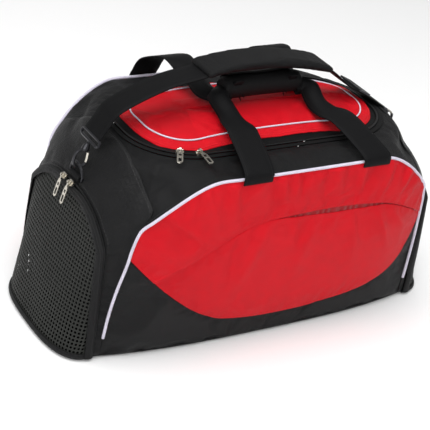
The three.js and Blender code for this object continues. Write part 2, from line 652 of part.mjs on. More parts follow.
// Each end hangs on a hook whose nose sits high in a ring on the shoulder panel.
const LOOP_Z = 52; // from a hook's nose to the middle of its strap loop
const RING_RISE = 23;
const RING_SEAT = 6; // height of a ring's bar above the shoulder panel
const NOSE_UNDER_RING = 2 * WIRE + 0.8;
function hang(x, towardsX, towardsZ) {
  const seat = deckZ(x) + RING_SEAT;
  const nose = new THREE.Vector2(x, seat + RING_RISE - NOSE_UNDER_RING);
  const way = new THREE.Vector2(towardsX, towardsZ).sub(nose).normalize();
  const end = way.clone().multiplyScalar(LOOP_Z + 2 * WIRE + 1).add(nose);
  return { x, seat, nose, end, lean: Math.atan2(way.x, way.y) };
}
const hangLeft = hang(-294, -268, 343);
const hangRight = hang(289, 252, 322);
const strapPath = new THREE.CatmullRomCurve3([
  hangLeft.end.toArray(), [-246, 366], [-205, 386], [-158, 402],
  ...[-0.26, -0.13, 0, 0.12, 0.24, 0.36].map(onArch),
  [172, 368], [208, 349], hangRight.end.toArray(),
].map(([x, z]) => new THREE.Vector3(x, STRAP_Y, z)));
const strapBox = new THREE.BoxGeometry(1, WEBBING, WEBBING_THICK, 36, 1, 1);
const strap = solid(reshape(strapBox, (point) => {
  const t = point.x + 0.5;
  const at = strapPath.getPoint(t);
  const way = strapPath.getTangent(t);
  point.set(at.x - way.z * point.z, STRAP_Y + point.y, at.z + way.x * point.z);
}));
add('shoulder_strap', strap, finishes.webbing);

// The pad is a round-arched sleeve under and over the webbing, so it can slide along it.
function archSlab(radiusFrom, radiusTo, width, from, to, steps = 20) {
  const slab = new THREE.BoxGeometry(to - from, width, radiusTo - radiusFrom, steps, 1, 1);
  return solid(reshape(slab, (point) => {
    const angle = point.x + (from + to) / 2;
    const radius = point.z + (radiusFrom + radiusTo) / 2;
    point.set(
      archCentre[0] + radius * Math.sin(angle), point.y + STRAP_Y,
      archCentre[1] + radius * Math.cos(angle),
    );
  }));
}
const SLEEVE_ROOM = 1.2; // clearance of the webbing inside the pad
const sleeveHalf = WEBBING_THICK / 2 + SLEEVE_ROOM;
const sleeve = archSlab(
  ARCH_RADIUS - sleeveHalf, ARCH_RADIUS + sleeveHalf, WEBBING + 2 * SLEEVE_ROOM,
  PAD_FROM - 0.1, PAD_TO + 0.1, 18,
);
const pad = archSlab(
  ARCH_RADIUS - PAD_THICK + 2, ARCH_RADIUS + sleeveHalf + 2, PAD_WIDTH, PAD_FROM, PAD_TO, 16,
);
add('shoulder_pad', pad.subtract(sleeve), finishes.blackCloth);

// A three-bar adjuster that the strap threads through, near its right end.
const ADJUSTER_T = 0.9;
const adjusterAt = strapPath.getPoint(ADJUSTER_T);
const adjusterWay = strapPath.getTangent(ADJUSTER_T);
const adjusterSlot = (middle) => block(
  middle - 3.6, middle + 3.6, -WEBBING / 2 - 1.5, WEBBING / 2 + 1.5, -1, 4,
);
const adjuster = prismZ(roundedRect(13, WEBBING / 2 + 5, 3), 0, 3, 3)
  .subtract(adjusterSlot(-5.4))
  .subtract(adjusterSlot(5.4))
  .rotate([0, (Math.atan2(-adjusterWay.z, adjusterWay.x) * 180) / Math.PI, 0])
  .translate([
    adjusterAt.x - adjusterWay.z * (WEBBING_THICK / 2 + GAP + 0.4), STRAP_Y,
    adjusterAt.z + adjusterWay.x * (WEBBING_THICK / 2 + GAP + 0.4),
  ]);
add('strap_adjuster', adjuster, finishes.darkMetal);

// ---------- hooks, gates, rings and tabs ----------
// A hook's own frame: its nose at the origin, its swivel and strap loop up +Z.
const EYE_TOP = 26;
function hookBody() {
  const bow = wire([
    [-3, 0, EYE_TOP + 2], [-HOOK_EYE, 0, EYE_TOP - 6], [-HOOK_EYE, 0, 8], [-7, 0, 0.5],
    [0, 0, -2.4], [7, 0, 0.5], [HOOK_EYE, 0, 6],
  ], WIRE, { steps: 12 });
  const collar = new THREE.LatheGeometry([
    [0, EYE_TOP], [5.5, EYE_TOP], [6.5, EYE_TOP + 3], [5, EYE_TOP + 9], [3.6, EYE_TOP + 12],
    [0, EYE_TOP + 12],
  ].map(([r, z]) => new THREE.Vector2(r, z)), 12);
  return bow.add(solid(collar.rotateX(Math.PI / 2)));
}
function gateBody() {
  return wire([
    [HOOK_EYE, 0, 6 + WIRE], [HOOK_EYE - 0.5, 0, 14], [HOOK_EYE - 3, 0, EYE_TOP - GAP - 2.2],
  ], WIRE - 0.5, { steps: 6 });
}
function loopBody() {
  const halfY = WEBBING / 2 + 3;
  const bars = wire([
    [0, -halfY, LOOP_Z], [0, -halfY, LOOP_Z - 8], [0, -halfY + 6, LOOP_Z - 9],
    [0, 0, LOOP_Z - 9], [0, halfY - 6, LOOP_Z - 9], [0, halfY, LOOP_Z - 8], [0, halfY, LOOP_Z],
    [0, halfY - 6, LOOP_Z + 1], [0, 0, LOOP_Z + 1], [0, 6 - halfY, LOOP_Z + 1],
  ], WIRE, { closed: true, steps: 20 });
  const stem = new THREE.CylinderGeometry(2.2, 2.2, 5, 8).rotateX(Math.PI / 2);
  return bars.add(solid(stem.translate(0, 0, EYE_TOP + 12 + GAP + 2.5)));
}
// A ring stands in the plane across the bag; its straight bar lies in the tab.
const RING_HALF = 19;
function ringBody() {
  return wire([
    [0, -RING_HALF, 0], [0, 0, 0], [0, RING_HALF, 0], [0, RING_HALF + 1, 7],
    [0, 13, 18], [0, 0, RING_RISE], [0, -13, 18], [0, -RING_HALF - 1, 7],
  ], WIRE - 0.2, { closed: true, steps: 18 });
}
for (const [side, at] of [['left', hangLeft], ['right', hangRight]]) {
  const { x, seat } = at;
  const ring = add(`${side}_d_ring`, ringBody(), finishes.darkMetal);
  ring.position.set(x, STRAP_Y, seat);
  const frame = new THREE.Group();
  frame.position.set(at.nose.x, STRAP_Y, at.nose.y);
  frame.rotation.y = at.lean;
  add(`${side}_hook`, hookBody(), finishes.darkMetal, frame);
  add(`${side}_hook_gate`, gateBody(), finishes.nickel, frame);
  add(`${side}_strap_loop`, loopBody(), finishes.darkMetal, frame);
  bag.add(frame);
  const lean = Math.sign(x) * Math.atan2(deckZ(x - 5) - deckZ(x + 5), 10);
  const tab = new THREE.BoxGeometry(26, 30, 3);
  const bore = solid(new THREE.CylinderGeometry(WIRE + 0.5, WIRE + 0.5, 60, 10));
  const loop = solid(new THREE.CylinderGeometry(WIRE + 2.6, WIRE + 2.6, 30, 12));
  const flat = solid(tab).rotate([0, (Math.abs(lean) * Math.sign(x) * 180) / Math.PI, 0])
    .translate([-Math.sign(x) * 6, 0, 1.5]);
  const tabBody = loop.add(flat).translate([x, STRAP_Y, seat]).subtract(
    bore.translate([x, STRAP_Y, seat]),
  ).subtract(outer);
  add(`${side}_ring_tab`, tabBody, finishes.webbing);
}

export default bag;
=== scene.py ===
"""A soft domed sports bag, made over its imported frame.

Run it as a script. The sizes and colours are add-on properties, each group of like pieces is
an operator, and main() calls the operators in order.
"""
import json
import math

import bmesh
import bpy
from bpy.props import FloatProperty, FloatVectorProperty, PointerProperty
from mathutils import Matrix, Vector, noise


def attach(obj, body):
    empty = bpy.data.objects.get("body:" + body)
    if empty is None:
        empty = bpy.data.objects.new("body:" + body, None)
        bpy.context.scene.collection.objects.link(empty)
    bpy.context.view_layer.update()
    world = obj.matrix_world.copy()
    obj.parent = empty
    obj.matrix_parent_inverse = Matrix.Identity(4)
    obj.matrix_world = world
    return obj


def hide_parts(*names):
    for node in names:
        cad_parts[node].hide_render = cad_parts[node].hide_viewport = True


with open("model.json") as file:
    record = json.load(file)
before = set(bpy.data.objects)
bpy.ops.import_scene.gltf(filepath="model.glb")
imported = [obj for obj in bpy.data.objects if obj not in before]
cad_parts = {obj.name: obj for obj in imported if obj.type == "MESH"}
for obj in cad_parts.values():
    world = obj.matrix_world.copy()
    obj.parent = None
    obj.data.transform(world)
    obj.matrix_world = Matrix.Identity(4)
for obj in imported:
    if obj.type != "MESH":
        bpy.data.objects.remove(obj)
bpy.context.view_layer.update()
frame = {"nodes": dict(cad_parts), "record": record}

bl_info = {
    "name": "Domed sports bag",
    "version": (1, 0, 0),
    "blender": (4, 5, 0),
    "location": "3D View > Sidebar > Bag",
    "description": "Sewn panels, zips, webbing and hardware of a domed sports bag",
    "category": "Object",
}

# The shell, in metres: x runs along the bag, y across it, z up, from its base's middle.
TUBE_END = 0.298        # where the shell's ends stand
SHOULDER_IN = 0.262     # where a shoulder's cloth meets the side panels
DECK_END = 0.240        # where the deck's cloth meets a shoulder's
BASE_CORNER = 0.014     # radius of the edge at the base
RIM_CORNER = (0.2600, 0.2405)   # (x, z) of a side panel's upper corner

# The lid's outline, a rectangle with round corners, and the level of its zip.
LID_LONG = 0.225
LID_WIDE = 0.108
LID_CORNER = 0.095
CORE_X, CORE_Y = LID_LONG - LID_CORNER, LID_WIDE - LID_CORNER
LID_ARC = LID_CORNER * math.pi / 2
LID_ROUND = 4 * CORE_X + 4 * CORE_Y + 4 * LID_ARC
ZIP_LEVEL = 0.3268

# The end pockets.
POCKET_SLOPE = 0.2137
POCKET_SEAT = 0.2988    # where a pocket's cloth meets the shell's end
POCKET_TOP = 0.2485
NET_FOOT, NET_HEAD = 0.0050, 0.2470
BORDER = 0.0125         # width of the band round the mesh

# The handles and the strap.
GRIP_HEIGHT = 0.377
STRAP_Y = -0.004

SETTLE_FRAMES = 16      # steps that a cloth takes to settle


# ---------- the form of the shell ----------

def along(x, start, end):
    """How far |x| has gone from start towards end."""
    return max(0.0, (abs(x) - start) / (end - start))


def base_half(x):
    return 0.146 - 0.022 * along(x, 0, TUBE_END) ** 3


def side_half(x):
    return 0.180 - 0.054 * along(x, 0, TUBE_END) ** 6


def corner_z(x):
    return 0.318 - 0.123 * along(x, 0.150, TUBE_END) ** 1.6


def deck_z(x):
    return 0.327 - 0.079 * along(x, 0.205, TUBE_END) ** 1.4


def side_at(x, z):
    """Half the shell's width at a height."""
    rise = min(1.0, max(0.0, z) / min(0.25, corner_z(x)))
    return base_half(x) + (side_half(x) - base_half(x)) * math.sin(rise * math.pi / 2)


def flank(x, z):
    """Half the shell's width at a height, with the rounded edge at its base."""
    if z < BASE_CORNER:
        drop = 1 - max(0.0, z) / BASE_CORNER
        return base_half(x) - BASE_CORNER + BASE_CORNER * math.sqrt(1 - drop * drop)
    share = (z - BASE_CORNER) / (corner_z(x) - BASE_CORNER)
    return side_at(x, z) + (base_half(x) - side_at(x, BASE_CORNER)) * (1 - share) ** 2


def top_at(x, y):
    """The height of the shell's top."""
    share = min(1.0, abs(y) / side_half(x))
    return corner_z(x) + (deck_z(x) - corner_z(x)) * (1 - share ** 3)


def lid_rise(x, y):
    fall = 1 - (abs(x) / LID_LONG) ** 2.6 - (abs(y) / LID_WIDE) ** 2.2
    return 0.024 * max(0.0, fall) ** 0.75


def lid_top(x, y):
    return 0.328 + lid_rise(x, y)


def pocket_x(z):
    """How far out an end pocket's face is at a height."""
    return 0.356 - POCKET_SLOPE * z


# ---------- lines through points ----------

def smooth_line(points, count=96):
    """A smooth line through points, as a function of its share of the length."""
    given = [Vector(p) for p in points]
    ends = [2 * given[0] - given[1]] + given + [2 * given[-1] - given[-2]]
    line = []
    for i in range(1, len(ends) - 2):
        a, b, c, d = ends[i - 1:i + 3]
        for k in range(count):
            t = k / count
            line.append(0.5 * (
                2 * b + (c - a) * t + (2 * a - 5 * b + 4 * c - d) * t * t
                + (3 * b - a - 3 * c + d) * t ** 3
            ))
    line.append(given[-1])
    lengths = [0.0]
    for a, b in zip(line, line[1:]):
        lengths.append(lengths[-1] + (b - a).length)
    total = lengths[-1]

    def at(share):
        goal = min(1.0, max(0.0, share)) * total
        low, high = 0, len(lengths) - 1
        while high - low > 1:
            middle = (low + high) // 2
            if lengths[middle] <= goal:
                low = middle
            else:
                high = middle
        span = lengths[high] - lengths[low]
        return line[low].lerp(line[high], 0 if span == 0 else (goal - lengths[low]) / span)

    at.length = total
    return at


def part_of(line, start, end):
    """The stretch of a line between two shares of its length."""
    return lambda share: line(start + (end - start) * share)


def share_near(line, point, count=600):
    """The share of a line's length that comes nearest to a point."""
    return min((k / count for k in range(count + 1)),
               key=lambda s: (line(s) - Vector(point)).length)


def four_sided(bottom, top, left, right):
    """Fills the space inside four lines that meet at their ends."""
    def at(u, v):
        corners = (
            (1 - u) * (1 - v) * bottom(0) + u * (1 - v) * bottom(1)
            + (1 - u) * v * top(0) + u * v * top(1)
        )
        return (
            (1 - v) * bottom(u) + v * top(u) + (1 - u) * left(v) + u * right(v) - corners
        )
    return at


# The front panel's outline and the seams on it, as (x, z), in metres.
PANEL_RIM = smooth_line(
    [(-0.288, 0.0), (-0.2865, 0.045), (-0.284, 0.090), (-0.279, 0.135), (-0.272, 0.178),
     (-0.2672, 0.213), (-RIM_CORNER[0], RIM_CORNER[1])]
    + [(x, corner_z(x)) for x in (-0.245, -0.225, -0.200, -0.175, -0.150, -0.110, -0.06, 0,
                                  0.06, 0.110, 0.150, 0.175, 0.200, 0.225, 0.245)]
    + [RIM_CORNER, (0.2672, 0.213), (0.272, 0.178), (0.279, 0.135), (0.284, 0.090),
       (0.2865, 0.045), (0.288, 0.0)], 24)
LEAF_EDGE = smooth_line(
    [(-0.2705, 0.1925), (-0.218, 0.138), (-0.160, 0.088), (-0.118, 0.062), (-0.084, 0.050),
     (-0.020, 0.042), (0.055, 0.042), (0.097, 0.046), (0.155, 0.053), (0.197, 0.066),
     (0.229, 0.088), (0.251, 0.121), (0.264, 0.158), (0.2715, 0.181)], 24)
SEAM = smooth_line(
    [(-0.228, 0.149), (-0.195, 0.171), (-0.159, 0.192), (-0.109, 0.222), (-0.069, 0.237),
     (-0.020, 0.2415), (0.067, 0.2440), (0.145, 0.2385), (0.183, 0.230), (0.230, 0.210),
     (0.2702, 0.186)], 24)


# ---------- meshes ----------


def take_place(piece, body, stands_for):
    """Says which solids a piece stands for and the body that carries it."""
    if stands_for:
        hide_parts(*stands_for)
    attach(piece, body)


def new_piece(name, bm, finish, body=None, stands_for=()):
    """Turns a bmesh into a piece. One without a body takes its place once it has settled."""
    sum(face.calc_area() for face in bm.faces)
    mesh = bpy.data.meshes.new(name)
    bm.to_mesh(mesh)
    bm.free()
    for face in mesh.polygons:
        face.use_smooth = True
    piece = bpy.data.objects.new(name, mesh)
    bpy.context.scene.collection.objects.link(piece)
    mesh.materials.append(bpy.data.materials[finish])
    if body:
        take_place(piece, body, stands_for)
    return piece


def cloth_grid(across, up, place, size=(1.0, 1.0)):
    """A grid of faces laid on a surface. Its UV map is in metres of cloth."""
    bm = bmesh.new()
    layer = bm.loops.layers.uv.new("cloth")
    bmesh.ops.create_grid(bm, x_segments=across, y_segments=up, size=0.5)
    for face in bm.faces:
        for loop in face.loops:
            u, v = loop.vert.co.x + 0.5, loop.vert.co.y + 0.5
            loop[layer].uv = (u * size[0], v * size[1])
    for vert in bm.verts:
        vert.co = place(vert.co.x + 0.5, vert.co.y + 0.5)
    bmesh.ops.remove_doubles(bm, verts=bm.verts, dist=0.00002)
    return bm


def facing_out(place, sign):
    """A surface turned over on the bag's left, so that its faces still point outwards."""
    return place if sign > 0 else (lambda u, v: place(1 - u, v))


def wall(piece, thick, levels=1, inward=True):
    """Gives a cloth surface its thickness and a fine surface."""
    solid = piece.modifiers.new("thickness", "SOLIDIFY")
    solid.thickness = thick
    solid.offset = -1 if inward else 0
    solid.use_even_offset = False
    if levels:
        fine = piece.modifiers.new("fine surface", "SUBSURF")
        fine.levels = fine.render_levels = levels


def tube_mesh(line, radius, around=12, steps=80, ends=True, squeeze=1.0, up=(0, 0, 1)):
    """A tube along a line. radius may be a function of the share of its length."""
    size = radius if callable(radius) else (lambda share: radius)
    guide = Vector(up)

    def place(u, v):
        middle = line(u)
        way = (line(min(1, u + 0.002)) - line(max(0, u - 0.002))).normalized()
        side = way.cross(guide)
        side = side.normalized() if side.length > 1e-4 else way.orthogonal().normalized()
        rise = side.cross(way)
        turn = 2 * math.pi * v
        return middle + size(u) * (
            math.cos(turn) * side + math.sin(turn) * squeeze * rise)

    bm = cloth_grid(steps, around, place, (line.length, 2 * math.pi * size(0.5)))
    if ends:
        bmesh.ops.holes_fill(bm, edges=[e for e in bm.edges if e.is_boundary])
    bmesh.ops.recalc_face_normals(bm, faces=bm.faces)
    return bm


def band_mesh(line, width, thick, side=(0, 1, 0), curl=None, steps=60):
    """A flat band along a line. curl gives the angle its edges turn down by along it."""
    bend = curl or (lambda share: 0.0)
    across = Vector(side)
    rim = [(-0.5, -0.3), (-0.485, -0.5), (-0.25, -0.5), (0, -0.5), (0.25, -0.5),
           (0.485, -0.5), (0.5, -0.3), (0.5, 0.3), (0.485, 0.5), (0.25, 0.5), (0, 0.5),
           (-0.25, 0.5), (-0.485, 0.5), (-0.5, 0.3), (-0.5, -0.3)]
    last = len(rim) - 1

    def place(u, v):
        middle = line(u)
        way = (line(min(1, u + 0.003)) - line(max(0, u - 0.003))).normalized()
        rise = way.cross(across).normalized()
        flat = rise.cross(way)
        share, out = rim[min(last, max(0, round(v * last)))]
        angle = bend(u)
        if angle < 0.02:
            return middle + flat * share * width + rise * out * thick
        radius = width / angle
        turn = share * angle
        return (middle + flat * (radius + out * thick) * math.sin(turn)
                + rise * ((radius + out * thick) * math.cos(turn) - radius))

    bm = cloth_grid(steps, last, place)
    layer = bm.loops.layers.uv["cloth"]
    for face in bm.faces:
        for loop in face.loops:
            u, v = loop[layer].uv
            share = rim[min(last, max(0, round(v * last)))][0]
            loop[layer].uv = (share * width, u * line.length)
    bmesh.ops.holes_fill(bm, edges=[e for e in bm.edges if e.is_boundary])
    bmesh.ops.recalc_face_normals(bm, faces=bm.faces)
    return bm


def let_settle(piece, held, swell, press, cap):
    """Lets a sewn panel's spare cloth buckle, with its held points still, and keeps it.

    No point moves further than the cap, or than about the length of its shortest edge.
    """
    group = piece.vertex_groups.new(name="held")
    start = [vert.co.copy() for vert in piece.data.vertices]
    for vert, weight in zip(piece.data.vertices, held):
        if weight > 0:
            group.add([vert.index], weight, "REPLACE")
    cloth = piece.modifiers.new("cloth", "CLOTH")
    cloth.settings.quality = 6
    cloth.settings.mass = 0.25
    cloth.settings.tension_stiffness = 30
    cloth.settings.compression_stiffness = 30
    cloth.settings.shear_stiffness = 12
    cloth.settings.bending_stiffness = 0.6
    cloth.settings.tension_damping = cloth.settings.compression_damping = 12
    cloth.settings.air_damping = 3
    cloth.settings.shrink_min = -swell
    cloth.settings.use_pressure = press != 0
    cloth.settings.uniform_pressure_force = press
    cloth.settings.vertex_group_mass = "held"
    cloth.settings.effector_weights.gravity = 0
    cloth.collision_settings.use_collision = False
    cloth.point_cache.frame_start = 1
    cloth.point_cache.frame_end = SETTLE_FRAMES
    scene = bpy.context.scene
    for number in range(1, SETTLE_FRAMES + 1):
        scene.frame_set(number)
    shown = piece.evaluated_get(bpy.context.evaluated_depsgraph_get())
    ended = [vert.co.copy() for vert in shown.data.vertices]
    piece.modifiers.remove(cloth)
    scene.frame_set(1)
    room = [cap] * len(start)
    for edge in piece.data.edges:
        a, b = edge.vertices
        span = (start[a] - start[b]).length
        room[a], room[b] = min(room[a], span * 1.1), min(room[b], span * 1.1)
    for vert, first, last, most in zip(piece.data.vertices, start, ended, room):
        move = last - first
        if not move.length < 1:
            raise RuntimeError(f"{piece.name} didn't settle")
        if move.length > most:
            move *= most / move.length
        vert.co = first + move
    piece.vertex_groups.clear()


def settled_piece(name, bm, finish, body, stands_for, swell, press, cap, thick=0.002):
    """A cloth that is held along its edges while the rest of it settles."""
    held = [1.0 if vert.is_boundary else 0.0 for vert in bm.verts]
    piece = new_piece(name, bm, finish)
    if swell or press:
        let_settle(piece, held, swell, press, cap)
    take_place(piece, body, stands_for)
    wall(piece, thick)


# ---------- finishes ----------

def feed(tree, socket, value):
    """Gives a socket a number, a plain colour or another node's output."""
    if isinstance(value, bpy.types.NodeSocket):
        tree.links.new(value, socket)
    elif isinstance(value, (int, float)):
        socket.default_value = value
    else:
        socket.default_value = (*value[:3], 1)


def maths(tree, kind, *values):
    node = tree.nodes.new("ShaderNodeMath")
    node.operation = kind
    for socket, value in zip(node.inputs, values):
        feed(tree, socket, value)
    return node.outputs[0]


def ridges(tree, value, rate=math.pi):
    """Rounded ridges, one for each whole number that the value passes."""
    return maths(tree, "ABSOLUTE", maths(tree, "SINE", maths(tree, "MULTIPLY", value, rate)))


def parted(tree, vector):
    """The X, Y and Z of a vector, as sockets."""
    split = tree.nodes.new("ShaderNodeSeparateXYZ")
    tree.links.new(vector, split.inputs[0])
    return split.outputs


def effect(name, inputs, outputs):
    """A shader node group with named sockets; returns it, its inputs and its output node."""
    group = bpy.data.node_groups.new(name, "ShaderNodeTree")
    for label, kind, value in inputs:
        socket = group.interface.new_socket(label, in_out="INPUT", socket_type=kind)
        if value is not None:
            socket.default_value = value
    for label, kind in outputs:
        group.interface.new_socket(label, in_out="OUTPUT", socket_type=kind)
    return group, group.nodes.new("NodeGroupInput").outputs, group.nodes.new(
        "NodeGroupOutput").inputs


def build_weave():
    """Plain weave: each thread passes over and under its neighbours."""
    group, given, result = effect(
        "Plain weave",
        [("Place", "NodeSocketVector", None), ("Thread", "NodeSocketFloat", 0.001)],
        [("Height", "NodeSocketFloat"), ("Shade", "NodeSocketFloat")])
    x, y, _ = parted(group, given["Place"])
    across = maths(group, "DIVIDE", x, given["Thread"])
    up = maths(group, "DIVIDE", y, given["Thread"])
    warp, weft = ridges(group, across), ridges(group, up)
    turn = maths(group, "FLOORED_MODULO", maths(
        group, "ADD", maths(group, "FLOOR", across), maths(group, "FLOOR", up)), 2.0)
    over = maths(group, "GREATER_THAN", turn, 0.5)
    under = maths(group, "SUBTRACT", 1.0, over)
    height = maths(group, "ADD", maths(group, "MULTIPLY", over, warp),
                   maths(group, "MULTIPLY", under, weft))
    group.links.new(height, result["Height"])
    shade = maths(group, "MULTIPLY_ADD", over, 0.35, maths(group, "MULTIPLY", height, 0.65))
    group.links.new(shade, result["Shade"])


def build_rib():
    """Lengthwise ribs crossed by fine picks, as on woven tape and webbing."""
    group, given, result = effect(
        "Ribbed tape",
        [("Place", "NodeSocketVector", None), ("Rib", "NodeSocketFloat", 0.003),
         ("Pick", "NodeSocketFloat", 0.0012)],
        [("Height", "NodeSocketFloat"), ("Shade", "NodeSocketFloat")])
    x, y, _ = parted(group, given["Place"])
    rib = maths(group, "DIVIDE", x, given["Rib"])
    slant = maths(group, "PINGPONG", rib, 0.5)
    pick = maths(group, "ADD", maths(group, "DIVIDE", y, given["Pick"]), slant)
    ridge, cross = ridges(group, rib), ridges(group, pick)
    height = maths(group, "MULTIPLY_ADD", ridge, 0.55, maths(group, "MULTIPLY", cross, 0.45))
    group.links.new(height, result["Height"])
    group.links.new(maths(group, "MULTIPLY", ridge, cross), result["Shade"])


def build_stitches():
    """A row of stitches: how far a point is across the row and along it give the thread."""
    group, given, result = effect(
        "Stitch row",
        [("Across", "NodeSocketFloat", 0.0), ("Along", "NodeSocketFloat", 0.0),
         ("Pitch", "NodeSocketFloat", 0.004), ("Thread", "NodeSocketFloat", 0.0006)],
        [("Mask", "NodeSocketFloat")])
    near = maths(group, "SUBTRACT", 1.0, maths(group, "SMOOTH_MIN", 1.0, maths(
        group, "DIVIDE", maths(group, "ABSOLUTE", given["Across"]), given["Thread"]), 0.2))
    step = maths(group, "FRACT", maths(group, "DIVIDE", given["Along"], given["Pitch"]))
    dash = maths(group, "LESS_THAN", maths(group, "ABSOLUTE", maths(
        group, "SUBTRACT", step, 0.5)), 0.36)
    group.links.new(maths(group, "MULTIPLY", maths(group, "MAXIMUM", near, 0.0), dash),
                    result["Mask"])


def build_crumple():
    """Soft creases and uneven tone that a handled cloth shows."""
    group, given, result = effect(
        "Handled cloth", [("Place", "NodeSocketVector", None), ("Size", "NodeSocketFloat", 20.0)],
        [("Height", "NodeSocketFloat"), ("Tone", "NodeSocketFloat")])
    broad = group.nodes.new("ShaderNodeTexNoise")
    broad.inputs["Detail"].default_value = 3
    group.links.new(given["Place"], broad.inputs["Vector"])
    group.links.new(given["Size"], broad.inputs["Scale"])
    ridge = maths(group, "ABSOLUTE", maths(group, "SUBTRACT", broad.outputs["Fac"], 0.5))
    fine = group.nodes.new("ShaderNodeTexNoise")
    fine.inputs["Detail"].default_value = 4
    group.links.new(given["Place"], fine.inputs["Vector"])
    group.links.new(maths(group, "MULTIPLY", given["Size"], 3.7), fine.inputs["Scale"])
    height = maths(group, "MULTIPLY_ADD", fine.outputs["Fac"], 0.3, ridge)
    group.links.new(height, result["Height"])
    group.links.new(fine.outputs["Fac"], result["Tone"])


def place_effect(tree, group, **inputs):
    node = tree.nodes.new("ShaderNodeGroup")
    node.node_tree = bpy.data.node_groups[group]
    for label, value in inputs.items():
        feed(tree, node.inputs[label], value)
    return node.outputs


def mixed(tree, factor, first, second):
    """A colour between two, each a socket or a plain colour."""
    node = tree.nodes.new("ShaderNodeMix")
    node.data_type = "RGBA"
    for number, value in ((0, factor), (6, first), (7, second)):
        feed(tree, node.inputs[number], value)
    return node.outputs[2]


def bumped(tree, height, depth, normal=None):
    node = tree.nodes.new("ShaderNodeBump")
    node.inputs["Distance"].default_value = depth
    node.inputs["Strength"].default_value = 1.0
    tree.links.new(height, node.inputs["Height"])
    if normal is not None:
        tree.links.new(normal, node.inputs["Normal"])
    return node.outputs[0]


def new_finish(name):
    finish = bpy.data.materials.new(name)
    finish.use_nodes = True
    tree = finish.node_tree
    shader = next(node for node in tree.nodes if node.type == "BSDF_PRINCIPLED")
    return tree, shader


def cloth_places(tree, on_cloth):
    """The cloth's own map, or the object's axes on a piece without one, and the axes."""
    axes = tree.nodes.new("ShaderNodeTexCoord").outputs["Object"]
    if on_cloth:
        chart = tree.nodes.new("ShaderNodeUVMap")
        chart.uv_map = "cloth"
        return chart.outputs[0], axes
    x, y, z = parted(tree, axes)
    join = tree.nodes.new("ShaderNodeCombineXYZ")
    tree.links.new(maths(tree, "ADD", x, y), join.inputs[0])
    tree.links.new(z, join.inputs[1])
    return join.outputs[0], axes


def woven_finish(name, colour, thread=0.0011, depth=0.00022, rough=0.62, sheen=0.25,
                 contrast=0.30, creases=0.0010, on_cloth=True, dobby=0.0, edges=None,
                 shine=0.2):
    """Woven polyester: threads, a coarser figure in the weave with a painted highlight on its
    raised threads, creases and uneven tone.
    """
    tree, shader = new_finish(name)
    chart, axes = cloth_places(tree, on_cloth)
    weave = place_effect(tree, "Plain weave", Place=chart, Thread=thread)
    handled = place_effect(tree, "Handled cloth", Place=axes, Size=16.0)
    dark = [c * (1 - contrast) for c in colour]
    light = [min(1.0, c * (1 + 0.45 * contrast)) for c in colour]
    tone = mixed(tree, weave["Shade"], dark, light)
    height = weave["Height"]
    if dobby:
        figure = place_effect(tree, "Plain weave", Place=chart, Thread=dobby)
        # The figure's raised threads are painted lighter: a painted highlight.
        tone = mixed(tree, maths(tree, "MULTIPLY", figure["Height"], 0.45), tone,
                     [min(1.0, c * 1.35 + 0.002) for c in colour])
        height = maths(tree, "MULTIPLY_ADD", figure["Height"], 0.9, height)
    tone = mixed(tree, maths(tree, "MULTIPLY_ADD", handled["Tone"], 0.8, -0.25), tone,
                 [c * 0.72 for c in colour])
    normal = bumped(tree, handled["Height"], creases)
    normal = bumped(tree, height, depth, normal)
    if edges:
        parts, rows = parted(tree, chart), None
        for across, lengthwise, line in edges:
            row = place_effect(
                tree, "Stitch row", Pitch=0.0036, Thread=0.0007,
                Across=maths(tree, "SUBTRACT", parts[across], line),
                Along=parts[lengthwise])["Mask"]
            rows = row if rows is None else maths(tree, "MAXIMUM", rows, row)
        tone = mixed(tree, maths(tree, "MULTIPLY", rows, 0.85), tone,
                     [min(1.0, c * 1.5 + 0.02) for c in colour])
        normal = bumped(tree, rows, 0.0006, normal)
    tree.links.new(tone, shader.inputs["Base Color"])
    tree.links.new(normal, shader.inputs["Normal"])
    tree.links.new(maths(tree, "MULTIPLY_ADD", handled["Tone"], -0.14, rough + 0.07),
                   shader.inputs["Roughness"])
    shader.inputs["Sheen Weight"].default_value = sheen
    shader.inputs["Sheen Roughness"].default_value = 0.45
    shader.inputs["Specular IOR Level"].default_value = shine


def webbing_finish(name, colour, width, rib=0.0032, rough=0.55):
    """Woven webbing: lengthwise ribs, selvedges and a row of stitches near each edge."""
    tree, shader = new_finish(name)
    chart, axes = cloth_places(tree, True)
    ribs = place_effect(tree, "Ribbed tape", Place=chart, Rib=rib, Pick=0.0014)
    handled = place_effect(tree, "Handled cloth", Place=axes, Size=30.0)
    tone = mixed(tree, ribs["Shade"], [c * 0.55 for c in colour], [c * 1.3 for c in colour])
    tone = mixed(tree, maths(tree, "MULTIPLY_ADD", handled["Tone"], 0.9, -0.3), tone,
                 [c * 0.6 for c in colour])
    normal = bumped(tree, handled["Height"], 0.0005)
    normal = bumped(tree, ribs["Height"], 0.00012, normal)
    x, y, _ = parted(tree, chart)
    edge = maths(tree, "SUBTRACT", maths(tree, "ABSOLUTE", x), width / 2 - 0.004)
    rows = place_effect(tree, "Stitch row", Pitch=0.0042, Thread=0.0007, Across=edge,
                        Along=y)["Mask"]
    tone = mixed(tree, maths(tree, "MULTIPLY", rows, 0.6), tone,
                 [c * 1.8 + 0.006 for c in colour])
    normal = bumped(tree, rows, 0.0002, normal)
    tree.links.new(tone, shader.inputs["Base Color"])
    tree.links.new(normal, shader.inputs["Normal"])
    shader.inputs["Roughness"].default_value = rough
    shader.inputs["Specular IOR Level"].default_value = 0.06


